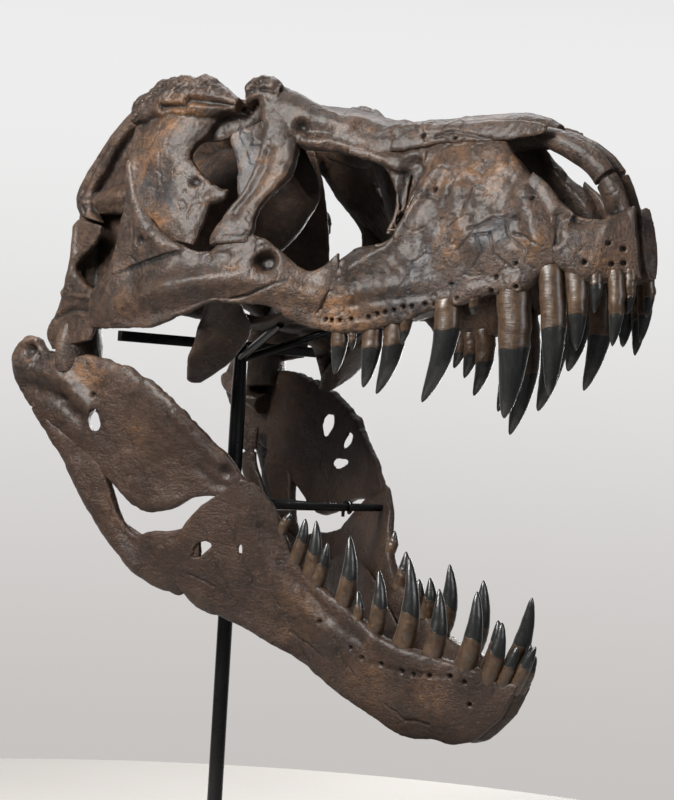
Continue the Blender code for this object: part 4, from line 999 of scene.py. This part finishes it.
def tooth(base, up, sign, length, width, lean, boundary, seed):
    """A curved tooth: its radius is the 0.6th power of one less the 2.4th power of the share of its length.

    The root is drawn into the bone by TOOTH_ROOT; the middle leans to the rear by the share squared.
    Returns points, faces and each point's distance below the root's end.
    """
    share = 1.0 - (1.0 - np.linspace(0.0, 0.994, 40)) ** 1.35
    along = share * (length + TOOTH_ROOT) - TOOTH_ROOT
    crown = np.clip((along - boundary) / (length - boundary), 0.0, 1.0)
    radius = 0.5 * width * TOOTH_STOUT * (1.0 - share ** TOOTH_TAPER) ** TOOTH_BLUNTNESS
    radius *= 1.0 + COLLAR_HEIGHT * np.exp(-((along - boundary) / COLLAR_REACH) ** 2)
    angle = np.linspace(0.0, 2 * math.pi, 28, endpoint=False)
    edge = 1.0 + 0.05 * np.abs(np.cos(angle))[None, :] ** 12 * np.sin(math.pi * crown[:, None])
    rear = np.array((-1.0, 0.0, 0.0))
    outward = np.array((0.0, sign, 0.0))
    ring = np.cos(angle)[:, None] * rear + TOOTH_FLATNESS * np.sin(angle)[:, None] * outward
    bow = TOOTH_BOW * length * np.sin(math.pi * np.clip(share, 0.0, 1.0))
    middle = np.array(base) + np.array((0.0, 0.0, up)) * along[:, None] + rear * lean * (share ** 2)[:, None]
    middle = middle + (outward * 0.5 - rear) * bow[:, None]
    points = middle[:, None] + (radius[:, None] * edge)[..., None] * ring[None]
    flat = points.reshape(-1, 3)
    bumps = 0.0008 * noise(flat * (0.35, 0.35, 1.0), 0.005, seed) + 0.0016 * noise(flat, 0.018, seed + 1)
    bumps *= np.repeat((crown <= 0.0).astype(float) * 0.7 + 0.3, len(angle))
    away = flat - np.repeat(middle, len(angle), axis=0)
    away /= np.linalg.norm(away, axis=1, keepdims=True) + 1e-9
    points = (flat + away * bumps[:, None]).reshape(points.shape)
    wave = 0.0026 * np.sin(2 * angle + seed)[None, :] + 0.0010 * np.sin(5 * angle + 2.0 * seed)[None, :]
    beyond = np.repeat(along - boundary, len(angle)).reshape(len(along), -1) + wave
    return *loft(points), beyond.ravel()


def tooth_edge(limbs, up):
    """The (x, z) points of a plate's tooth-bearing edge, from its own stations."""
    first = 0 if up > 0 else 2
    spots = {(row[first], row[first + 1]) for limb in limbs for row in limb}
    return sorted(spot for spot in spots if up > 0 or spot[1] < TOOTH_ROW_TOP)


def place_teeth(name, teeth, limbs, side, pose, up, sign, seed):
    """A row of teeth set into one bone, as one piece."""
    edge_x, edge_z = zip(*tooth_edge(limbs, up))
    parts, beyond = [], []
    for k, (x, length, width, lean, root) in enumerate(teeth):
        z = float(np.interp(x, edge_x, edge_z))
        y = sign * (side.width(np.array([x]), np.array([z]))[0] - TOOTH_INSET * width - TOOTH_SEAT)
        made = tooth((x, y, z), up, sign, length, width, lean, root * length, seed + 3 * k)
        parts.append(made[:2])
        beyond.append(made[2])
    points, faces = joined(parts)
    obj = linked(name, mesh_from(name + "_form", placed(points, pose), faces))
    obj.data.shade_smooth()
    add_values(obj, "beyond_root", np.concatenate(beyond))
    return finished(obj, bpy.data.materials["tooth cast"], "tooth_cast")


class Shade:
    """A value in a shader tree: sums, products and the like of such values make Math nodes."""

    def __init__(self, tree, socket):
        self.tree, self.socket = tree, socket

    def feed(self, socket, value):
        if isinstance(value, Shade):
            self.tree.links.new(value.socket, socket)
        else:
            socket.default_value = value

    def node(self, kind, output=0, settings=(), **inputs):
        """Any other node, its inputs given by name with underscores for spaces."""
        made = self.tree.nodes.new(kind)
        for key, value in settings:
            setattr(made, key, value)
        for key, value in inputs.items():
            self.feed(made.inputs[key.replace("_", " ")], value)
        return Shade(self.tree, made.outputs[output])

    def maths(self, operation, *values):
        made = self.tree.nodes.new("ShaderNodeMath")
        made.operation = operation
        for socket, value in zip(made.inputs, values):
            self.feed(socket, value)
        return Shade(self.tree, made.outputs[0])

    def __add__(self, other):
        return self.maths("ADD", self, other)

    def __sub__(self, other):
        return self.maths("SUBTRACT", self, other)

    def __rsub__(self, other):
        return self.maths("SUBTRACT", other, self)

    def __mul__(self, other):
        return self.maths("MULTIPLY", self, other)

    def __truediv__(self, other):
        return self.maths("DIVIDE", self, other)

    def __rtruediv__(self, other):
        return self.maths("DIVIDE", other, self)

    def __pow__(self, other):
        return self.maths("POWER", self, other)

    def __rpow__(self, other):
        return self.maths("POWER", other, self)

    def __neg__(self):
        return self.maths("MULTIPLY", self, -1.0)

    def __abs__(self):
        return self.maths("ABSOLUTE", self)

    __radd__, __rmul__ = __add__, __mul__

    def step(self, low, high):
        """Nought below low, one above high, and smooth between."""
        settings = (("interpolation_type", "SMOOTHSTEP"),)
        return self.node("ShaderNodeMapRange", settings=settings, Value=self, From_Min=low, From_Max=high)

    def blend(self, first, second):
        """The first colour where this is nought and the second where it is one."""
        made = self.tree.nodes.new("ShaderNodeMix")
        made.data_type = "RGBA"
        self.feed(made.inputs[0], self)
        for socket, colour in ((made.inputs[6], first), (made.inputs[7], second)):
            self.feed(socket, colour if isinstance(colour, Shade) else (*colour, 1.0))
        return Shade(self.tree, made.outputs[2])

    def noise(self, scale, detail=3.0, rough=0.5, bend=0.0):
        return self.node("ShaderNodeTexNoise", Vector=self, Scale=scale, Detail=detail, Roughness=rough,
                         Distortion=bend)

    def stretched(self, x, y, z):
        """This place with its three parts scaled apart."""
        return self.node("ShaderNodeVectorMath", settings=(("operation", "MULTIPLY"),), Vector=self) \
            .second_input((x, y, z))

    def second_input(self, value):
        self.feed(self.socket.node.inputs[1], value)
        return self

    def attribute(self, name):
        return self.node("ShaderNodeAttribute", 2, settings=(("attribute_name", name),))


def new_look(name):
    """A fresh material: its shader node, and the piece's own coordinates as a value."""
    look = bpy.data.materials.new(name)
    look.use_nodes = True
    tree = look.node_tree
    shader = tree.nodes["Principled BSDF"]
    place = tree.nodes.new("ShaderNodeTexCoord")
    return shader, Shade(tree, place.outputs["Object"])


def bumped(place, shader, height, distance):
    normal = place.node("ShaderNodeBump", Height=height, Distance=distance)
    place.feed(shader.inputs["Normal"], normal)


def make_bone_look(settings):
    """Varnished dark brown cast: ridges paler for wear and as painted sheen, hollows darker as a dark wash
    and as painted shade, tan and grey stains (the grey also as painted shade at the orbit wall), fine cracks,
    and painted shade darkening its lower parts.
    """
    shader, place = new_look("bone cast")
    relief = place.attribute("relief")
    tan = place.attribute("tan")
    grey = place.attribute("grey")
    broad = place.noise(4.0, 3.0)
    patches = place.noise(14.0, 4.0, 0.6, 0.4)
    mottle = place.noise(60.0, 5.0, 0.65)
    grain = place.noise(420.0, 3.0, 0.6)
    colour = (patches + broad * 0.6).step(0.55, 1.05).blend(settings.dark, settings.middle)
    colour = mottle.step(0.42, 0.78).blend(colour, settings.warm)
    # Painted sheen, partly wear: raised parts are paler
    colour = ((relief + mottle * 0.8 - 0.4).step(0.10, 0.95) * 0.55).blend(colour, settings.pale_wear_and_sheen)
    flecks = place.noise(26.0, 4.0, 0.7, 0.8).step(0.60, 0.72) * 0.45
    colour = (flecks * broad.step(0.40, 0.60)).blend(colour, settings.tan)
    colour = (tan * (mottle * 1.6).step(0.45, 1.0) * 0.8).blend(colour, settings.tan)
    streaks = place.stretched(1.0, 1.0, 0.25).noise(70.0, 3.0, 0.6)
    # Grey stains, and painted shade at the orbit wall
    colour = (grey * streaks.step(0.35, 0.62)).blend(colour, settings.grey)
    # Painted shade in pits and hollows, partly a dark wash: sunk parts are darker
    hollow_shade_and_wash = (-relief - mottle * 0.3 + 0.20).step(0.02, 0.60) * 0.9
    colour = hollow_shade_and_wash.blend(colour, settings.hollow_shade_and_wash)
    warp = place.node("ShaderNodeTexNoise", 1, Vector=place, Scale=30.0, Detail=2.0)
    bent = place.node("ShaderNodeVectorMath", settings=(("operation", "ADD"),), Vector=place)
    bent = bent.second_input(warp)
    cells = place.node("ShaderNodeTexVoronoi", settings=(("feature", "DISTANCE_TO_EDGE"),), Vector=bent,
                       Scale=42.0)
    cracked = (1.0 - cells.step(0.0, 0.040)) * place.noise(9.0, 2.0).step(0.46, 0.58)
    colour = (cracked * 0.7).blend(colour, settings.hollow_shade_and_wash)
    # Painted shade: everything below about 1.0 to 1.16 m, mostly the jaw, is darker, as if lit less from
    # above
    height = place.node("ShaderNodeSeparateXYZ", 2, Vector=place)
    lower = (1.0 - height.step(1.00, 1.16)) * settings.lower_shade_share
    colour = lower.blend(colour, settings.shaded_lower_bone)
    place.feed(shader.inputs["Base Color"], colour)
    rough = settings.roughness + (mottle - 0.5) * 0.40 + (patches - 0.5) * 0.35
    place.feed(shader.inputs["Roughness"], rough)
    shader.inputs["Coat Weight"].default_value = settings.varnish
    shader.inputs["Coat Roughness"].default_value = 0.28
    shader.inputs["Specular IOR Level"].default_value = 0.38
    fibres = place.stretched(0.35, 0.35, 1.0).noise(170.0, 4.0, 0.65)
    pits = place.noise(190.0, 3.0, 0.6).step(0.30, 0.52)
    bumped(place, shader, mottle * 0.6 + grain * 0.14 + fibres * 0.35 + pits * 0.16 - cracked * 0.45,
           settings.grain)


def make_tooth_look(settings):
    """Ochre roots with fine rings and streaks, and dark grey-green crowns with a sharp edge."""
    shader, place = new_look("tooth cast")
    beyond = place.attribute("beyond_root")
    uneven = place.noise(120.0, 3.0)
    crown = (beyond + (uneven - 0.5) * 0.003).step(-0.0006, 0.0006)
    rings = place.stretched(0.15, 0.15, 1.0).noise(260.0, 3.0, 0.6)
    streaks = place.stretched(1.0, 1.0, 0.07).noise(190.0, 3.0, 0.6)
    patches = place.noise(24.0, 3.0)
    root = rings * 0.2 + streaks * 0.3 + uneven * 0.5
    root = root.step(0.36, 0.62).blend(settings.root_dark, settings.root)
    root = (patches.step(0.50, 0.75) * 0.7).blend(root, settings.root_pale)
    bare = streaks.step(0.35, 0.70).blend(settings.crown_dark, settings.crown)
    bare = (patches.step(0.55, 0.75) * 0.5).blend(bare, settings.crown_pale)
    place.feed(shader.inputs["Base Color"], crown.blend(root, bare))
    place.feed(shader.inputs["Roughness"], 0.40 - crown * 0.10 + (uneven - 0.5) * 0.2)
    shader.inputs["Coat Weight"].default_value = 0.25
    shader.inputs["Coat Roughness"].default_value = 0.25
    bumped(place, shader, (rings * 0.4 + patches * 0.8) * (1.0 - crown) + streaks * 0.3, 0.0016)


def make_steel_look(settings):
    """Black gloss paint on steel, with a faint orange-peel."""
    shader, place = new_look("black steel")
    shader.inputs["Base Color"].default_value = (*settings.steel, 1.0)
    shader.inputs["Coat Weight"].default_value = 0.25
    shader.inputs["Coat Roughness"].default_value = 0.12
    shader.inputs["Specular IOR Level"].default_value = 0.25
    peel = place.noise(220.0, 2.0)
    place.feed(shader.inputs["Roughness"], 0.26 + place.noise(18.0, 3.0).step(0.4, 0.7) * 0.12)
    bumped(place, shader, peel, 0.0004)


def make_floor_look(settings):
    shader, place = new_look("pale floor")
    shader.inputs["Roughness"].default_value = 0.75
    colour = place.noise(0.9, 2.0).step(0.3, 0.7).blend(settings.floor, settings.floor_pale)
    place.feed(shader.inputs["Base Color"], colour)


def colour_prop(name, description, default):
    return bpy.props.FloatVectorProperty(name=name, description=description, default=default, size=3,
                                         subtype="COLOR", min=0.0, max=1.0)


def length_prop(name, description, default):
    return bpy.props.FloatProperty(name=name, description=description, default=default, min=0.0,
                                   unit="LENGTH")


def power_prop(name, default):
    return bpy.props.FloatProperty(name=name, description="Power of the " + name.lower(), default=default,
                                   min=0.0, unit="POWER")


def share_prop(name, description, default):
    return bpy.props.FloatProperty(name=name, description=description, default=default, min=0.0, max=1.0)


class CastLook(bpy.types.PropertyGroup):
    """Colours and surface of the cast bones, the teeth and the steel."""

    dark: colour_prop("Dark bone", "Darker brown of the cast", (0.0130, 0.0066, 0.0038))
    # Painted shade of the lower parts, mostly the jaw: its colour and how far it is taken
    shaded_lower_bone: colour_prop("Lower bone", "Dark red-brown of the lower jaw", (0.027, 0.0105, 0.0042))
    lower_shade_share: share_prop("Darker jaw", "How far the jaw takes its own brown", 0.55)
    middle: colour_prop("Middle bone", "Middle brown of the cast", (0.043, 0.0225, 0.0128))
    warm: colour_prop("Warm bone", "Warmer brown in the mottling", (0.078, 0.040, 0.0205))
    # Paler raised parts: partly wear, partly painted sheen
    pale_wear_and_sheen: colour_prop("Pale ridges", "Worn, paler raised parts", (0.130, 0.082, 0.056))
    tan: colour_prop("Tan stain", "Ochre patches", (0.190, 0.088, 0.031))
    # Also the colour of the painted shade at the orbit wall
    grey: colour_prop("Grey stain", "Bluish grey streaks", (0.030, 0.031, 0.036))
    # Colour of the painted shade in pits and hollows, and of the dark wash in the cracks
    hollow_shade_and_wash: colour_prop("Hollows", "Dark wash left in pits and cracks", (0.0032, 0.0019, 0.0013))
    roughness: share_prop("Roughness", "Roughness under the varnish", 0.47)
    varnish: share_prop("Varnish", "Weight of the varnish", 0.14)
    grain: length_prop("Grain", "Depth of the fine surface relief", 0.0062)
    root: colour_prop("Root", "Tooth roots", (0.062, 0.034, 0.0165))
    root_dark: colour_prop("Dark root", "Darker rings on the roots", (0.026, 0.0145, 0.0078))
    root_pale: colour_prop("Pale root", "Paler patches on the roots", (0.092, 0.055, 0.029))
    crown: colour_prop("Crown", "Tooth crowns", (0.0145, 0.0158, 0.0148))
    crown_dark: colour_prop("Dark crown", "Darker streaks on the crowns", (0.009, 0.009, 0.009))
    crown_pale: colour_prop("Pale crown", "Paler patches on the crowns", (0.032, 0.031, 0.026))
    steel: colour_prop("Steel paint", "Paint of the stand", (0.0035, 0.0035, 0.0038))


class StageLook(bpy.types.PropertyGroup):
    """Floor, backdrop and lights."""

    floor: colour_prop("Floor", "Colour of the floor", (0.46, 0.44, 0.42))
    floor_pale: colour_prop("Pale floor", "Colour of its paler patches", (0.49, 0.47, 0.45))
    low: colour_prop("Low backdrop", "Backdrop near the floor", (0.570, 0.545, 0.530))
    high: colour_prop("High backdrop", "Backdrop behind the skull's top", (0.850, 0.850, 0.850))
    above: colour_prop("Overhead", "Light from straight above", (0.30, 0.30, 0.31))
    around: colour_prop("Around", "Backdrop on the other sides", (0.12, 0.12, 0.125))
    floor_radius: length_prop("Floor radius", "Radius of the floor", 1.9)
    key: power_prop("Key light", 275.0)
    side: power_prop("Side light", 22.0)
    top: power_prop("Top light", 45.0)
    back: power_prop("Back light", 65.0)


def steel_piece(name, points, faces, node):
    """A piece of the stand, smooth with hard edges, in place of its CAD node."""
    obj = linked(name, mesh_from(name + "_form", points, faces))
    obj.data.shade_smooth()
    obj.data.set_sharp_from_angle(angle=HARD_EDGE)
    return finished(obj, bpy.data.materials["black steel"], "black_steel", node)


def rod(name, path, radius, node, around=48):
    """A round rod: circles carried along a path, with a quarter-round neck just inside each end."""
    path = np.array(path, float)
    level, upright = path_frames(path)
    angle = np.linspace(0.0, 2 * math.pi, around, endpoint=False)[None, :, None]
    ring = np.cos(angle) * level[:, None] + np.sin(angle) * upright[:, None]
    inward = [path[1] - path[0], path[-2] - path[-1]]
    inward = [way / np.linalg.norm(way) for way in inward]
    drawn = [ROD_NECK * radius * (1 - math.sin(t)) for t in np.linspace(0.0, math.pi / 2, 4)]
    rings = [path[0] + inward[0] * depth + ring[0] * (radius - depth) for depth in drawn[::-1]]
    rings += [path[k] + ring[k] * radius for k in range(1, len(path) - 1)]
    rings += [path[-1] + inward[1] * depth + ring[-1] * (radius - depth) for depth in drawn]
    return steel_piece(name, *loft(rings), node)


def bar(name, node, rounding):
    """A box as large as its CAD node: an outline with quarter-round corners, drawn in at both ends."""
    low, high = (np.array(corner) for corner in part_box(node))
    size, middle = high - low, (low + high) / 2
    turn = np.linspace(0.0, math.pi / 2, 5)
    corners = []
    for sx, sy in ((1, 1), (-1, 1), (-1, -1), (1, -1)):
        start = math.atan2(sy, sx) - math.pi / 4
        corners += [(sx * (size[0] / 2 - rounding) + rounding * math.cos(start + t),
                     sy * (size[1] / 2 - rounding) + rounding * math.sin(start + t)) for t in turn]
    outline = np.array(corners)
    rings = []
    for sign, order in ((-1, turn), (1, turn[::-1])):
        for t in order:
            scale = 1 - 2 * rounding * (1 - math.sin(t)) / size[:2]
            z = sign * (size[2] / 2 - rounding * (1 - math.cos(t)))
            rings.append(np.column_stack([outline * scale, np.full(len(outline), z)]))
    points, faces = loft(rings)
    return steel_piece(name, points + middle, faces, node)


class SKULL_OT_side_bones(bpy.types.Operator):
    """Builds the plate bones on both sides of the head"""

    bl_idname = "skull.side_bones"
    bl_label = "Side bones"

    def execute(self, context):
        for seed, name in enumerate(PLATES):
            limbs = plate_limbs(name, PLATES, HEAD_SIDE, 100 + 20 * seed)
            if name == "premaxilla":
                limbs.append(strut([(x, -(0.003 + wide), z, wide, deep) for x, z, wide, deep in NASAL_FORK]))
            place_pair(name, limbs, HEAD_SIDE, HEAD_POSE, 1000 + 17 * seed)
        return {"FINISHED"}


class SKULL_OT_deep_bones(bpy.types.Operator):
    """Builds the bones of the palate and the jaw joint"""

    bl_idname = "skull.deep_bones"
    bl_label = "Deep bones"

    def execute(self, context):
        for seed, (name, table) in enumerate(STRUTS.items()):
            limbs = [strut(rows) for rows in table] + deep_limbs(name, 200 + seed)
            place_pair(name, limbs, HEAD_SIDE, HEAD_POSE, 2000 + 17 * seed)
        return {"FINISHED"}


class SKULL_OT_midline_bones(bpy.types.Operator):
    """Builds the braincase, the nasals and the vomer"""

    bl_idname = "skull.midline_bones"
    bl_label = "Midline bones"

    def execute(self, context):
        look = bpy.data.materials["bone cast"]
        for seed, (name, table) in enumerate(MIDLINE.items()):
            limbs = [strut(rows, around=40) for rows in table]
            if name == "nasals":
                points, faces = plate(NASAL_FLANK, HEAD_SIDE, 0.0, PLAIN_RAGGED, 250)
                limbs += [(points, faces), (points * (1.0, -1.0, 1.0), [face[::-1] for face in faces])]
            skin = bone_skin(name, limbs, [], HEAD_SIDE)
            place_bone(name, name, skin, 3000 + 17 * seed, HEAD_POSE, False, look)
        return {"FINISHED"}


class SKULL_OT_jaw_bones(bpy.types.Operator):
    """Builds the bones of the lower jaw"""

    bl_idname = "skull.jaw_bones"
    bl_label = "Jaw bones"

    def execute(self, context):
        for seed, name in enumerate(JAW_PLATES):
            limbs = plate_limbs(name, JAW_PLATES, JAW_SIDE, 300 + 20 * seed)
            place_pair(name, limbs, JAW_SIDE, JAW_POSE, 4000 + 17 * seed)
        for seed, (name, table) in enumerate(JAW_STRUTS.items()):
            place_pair(name, [strut(rows) for rows in table], JAW_SIDE, JAW_POSE, 5000 + 17 * seed)
        return {"FINISHED"}


class SKULL_OT_teeth(bpy.types.Operator):
    """Builds the teeth of the maxillae, premaxillae and dentaries"""

    bl_idname = "skull.teeth"
    bl_label = "Teeth"

    def execute(self, context):
        for seed, (letter, sign) in enumerate((("R", -1.0), ("L", 1.0))):
            rows = (("upper", UPPER_TEETH, "maxilla", PLATES, HEAD_SIDE, HEAD_POSE, -1.0),
                    ("front", FRONT_TEETH, "premaxilla", PLATES, HEAD_SIDE, HEAD_POSE, -1.0),
                    ("lower", LOWER_TEETH, "dentary", JAW_PLATES, JAW_SIDE, JAW_POSE, 1.0))
            for kind, teeth, bone, plates, side, pose, up in rows:
                place_teeth(kind + "_teeth_" + letter, teeth[letter], plates[bone], side, pose, up, sign,
                            6000 + 400 * seed + 50 * len(kind))
        return {"FINISHED"}


class SKULL_OT_stand(bpy.types.Operator):
    """Builds the black stand"""

    bl_idname = "skull.stand"
    bl_label = "Stand"

    def execute(self, context):
        bar("stand_base", "base_plate", BASE_ROUNDING)
        steps = np.linspace(0.0, 1.0, 12)[:, None]
        rod("stand_pole", np.array((0, 0, POLE_FOOT)) + steps * (0, 0, POLE_TOP - POLE_FOOT), POLE_RADIUS,
            "pole", 64)
        bar("stand_crossbar", "crossbar", BAR_ROUNDING)
        start = np.array((JAW_BAR_FORWARD, -JAW_BAR_HALF, JAW_BAR_HEIGHT))
        rod("stand_jaw_bar", start + steps * (0, 2 * JAW_BAR_HALF, 0), ROD_RADIUS, "jaw_bar")
        start = np.array((POLE_RADIUS, 0, JAW_BAR_HEIGHT))
        rod("stand_jaw_arm", start + steps * (JAW_BAR_FORWARD - ROD_RADIUS - POLE_RADIUS, 0, 0), ROD_RADIUS,
            "jaw_arm")
        turn = np.linspace(math.radians(-70), math.radians(205), 20)
        hook = [(JAW_BAR_FORWARD + CLIP_RADIUS * math.cos(t), CLIP_LEFT,
                 JAW_BAR_HEIGHT + CLIP_RADIUS * math.sin(t)) for t in turn]
        hook.append((hook[-1][0], CLIP_LEFT, JAW_BAR_HEIGHT - CLIP_TAIL))
        rod("stand_jaw_clip", hook, CLIP_WIRE, "jaw_clip", 20)
        for letter, sign in (("R", -1.0), ("L", 1.0)):
            foot = np.array((0.0, sign * STRUT_APART, STRUT_FOOT))
            top = np.array((STRUT_FORWARD, sign * STRUT_SPREAD, STRUT_TOP))
            rod("stand_strut_" + letter, foot + steps * (top - foot), ROD_RADIUS, "strut_" + letter)
        return {"FINISHED"}


def area_light(name, place, target, size, power, colour):
    lamp = bpy.data.lights.new(name, "AREA")
    lamp.shape, lamp.size, lamp.energy, lamp.color = "DISK", size, power, colour
    obj = linked(name, lamp)
    obj.location = place
    direction = Vector(target) - Vector(place)
    obj.rotation_euler = direction.to_track_quat("-Z", "Y").to_euler()
    return obj


def make_world(stage):
    """A backdrop that brightens upwards, with softer light from overhead."""
    world = bpy.data.worlds.new("Studio")
    world.use_nodes = True
    bpy.context.scene.world = world
    tree = world.node_tree
    place = Shade(tree, tree.nodes.new("ShaderNodeTexCoord").outputs["Generated"])
    height = place.node("ShaderNodeSeparateXYZ", 2, Vector=place)
    yaw = math.radians(CAMERA_ANGLES[0])
    ahead = place.node("ShaderNodeVectorMath", 1, settings=(("operation", "DOT_PRODUCT"),), Vector=place)
    ahead = ahead.second_input((-math.sin(yaw), math.cos(yaw), 0.0))
    colour = height.step(-0.16, 0.14).blend(stage.low, stage.high)
    colour = height.step(0.14, 0.40).blend(colour, stage.above)
    colour = ahead.step(0.30, 0.96).blend(stage.around, colour)
    place.feed(tree.nodes["Background"].inputs["Color"], colour)


def make_camera():
    """A camera at the photograph's place and angle."""
    yaw, pitch, roll = (math.radians(angle) for angle in CAMERA_ANGLES)
    forward = Vector((-math.sin(yaw) * math.cos(pitch), math.cos(yaw) * math.cos(pitch), math.sin(pitch)))
    level = Vector((math.cos(yaw), math.sin(yaw), 0.0))
    upright = level.cross(forward)
    right = math.cos(roll) * level + math.sin(roll) * upright
    up = -math.sin(roll) * level + math.cos(roll) * upright
    data = bpy.data.cameras.new("Camera")
    data.lens, data.sensor_width, data.sensor_fit = CAMERA_LENS, 36.0, "AUTO"
    data.dof.use_dof = False
    obj = linked("Camera", data)
    turn = Matrix((right, up, -forward)).transposed().to_4x4()
    obj.matrix_world = Matrix.Translation(CAMERA_PLACE) @ turn
    bpy.context.scene.camera = obj


class SKULL_OT_stage(bpy.types.Operator):
    """Builds the floor, the backdrop, the lights and the camera"""

    bl_idname = "skull.stage"
    bl_label = "Stage"

    def execute(self, context):
        stage = context.scene.skull_stage
        angle = np.linspace(0.0, 2 * math.pi, 128, endpoint=False)
        rim = np.column_stack([np.cos(angle), np.sin(angle), np.zeros(128)]) * stage.floor_radius
        floor = linked("floor", mesh_from("floor_form", rim + (0.0, 0.0, FLOOR_HEIGHT), [list(range(128))]))
        floor.data.materials.append(bpy.data.materials["pale floor"])
        for name, place, target, size, colour in LIGHTS:
            area_light(name, place, target, size, getattr(stage, name.lower()), colour)
        make_world(stage)
        make_camera()
        context.scene.view_settings.view_transform = "Standard"
        return {"FINISHED"}


class SKULL_PT_panel(bpy.types.Panel):
    """The skull's steps, in the 3D view's sidebar"""

    bl_idname = "SKULL_PT_panel"
    bl_label = "Skull"
    bl_space_type = "VIEW_3D"
    bl_region_type = "UI"
    bl_category = "Skull"

    def draw(self, context):
        for step in STEPS:
            self.layout.operator(step.bl_idname)


STEPS = (SKULL_OT_side_bones, SKULL_OT_deep_bones, SKULL_OT_midline_bones, SKULL_OT_jaw_bones,
         SKULL_OT_teeth, SKULL_OT_stand, SKULL_OT_stage)
CLASSES = (CastLook, StageLook, *STEPS, SKULL_PT_panel)


def register():
    for each in CLASSES:
        bpy.utils.register_class(each)
    bpy.types.Scene.skull_look = bpy.props.PointerProperty(type=CastLook)
    bpy.types.Scene.skull_stage = bpy.props.PointerProperty(type=StageLook)


def unregister():
    del bpy.types.Scene.skull_look
    del bpy.types.Scene.skull_stage
    for each in reversed(CLASSES):
        bpy.utils.unregister_class(each)


def visual_box():
    """Lowest and highest corner of every piece that stands for a part of the object."""
    corners = []
    for name in MADE:
        points = mesh_points(bpy.data.objects[name].data)
        corners += [points.min(axis=0), points.max(axis=0)]
    return [np.min(corners, axis=0).tolist(), np.max(corners, axis=0).tolist()]


def main():
    register()
    scene = bpy.context.scene
    for make in (make_bone_look, make_tooth_look, make_steel_look):
        make(scene.skull_look)
    make_floor_look(scene.skull_stage)
    for step in STEPS:
        group, action = step.bl_idname.split(".")
        result = getattr(getattr(bpy.ops, group), action)()
        if result != {"FINISHED"}:
            raise RuntimeError(step.bl_label + " did not finish")
    {"cad": CAD_BOX, "visual": visual_box()}


if __name__ == "__main__":
    main()
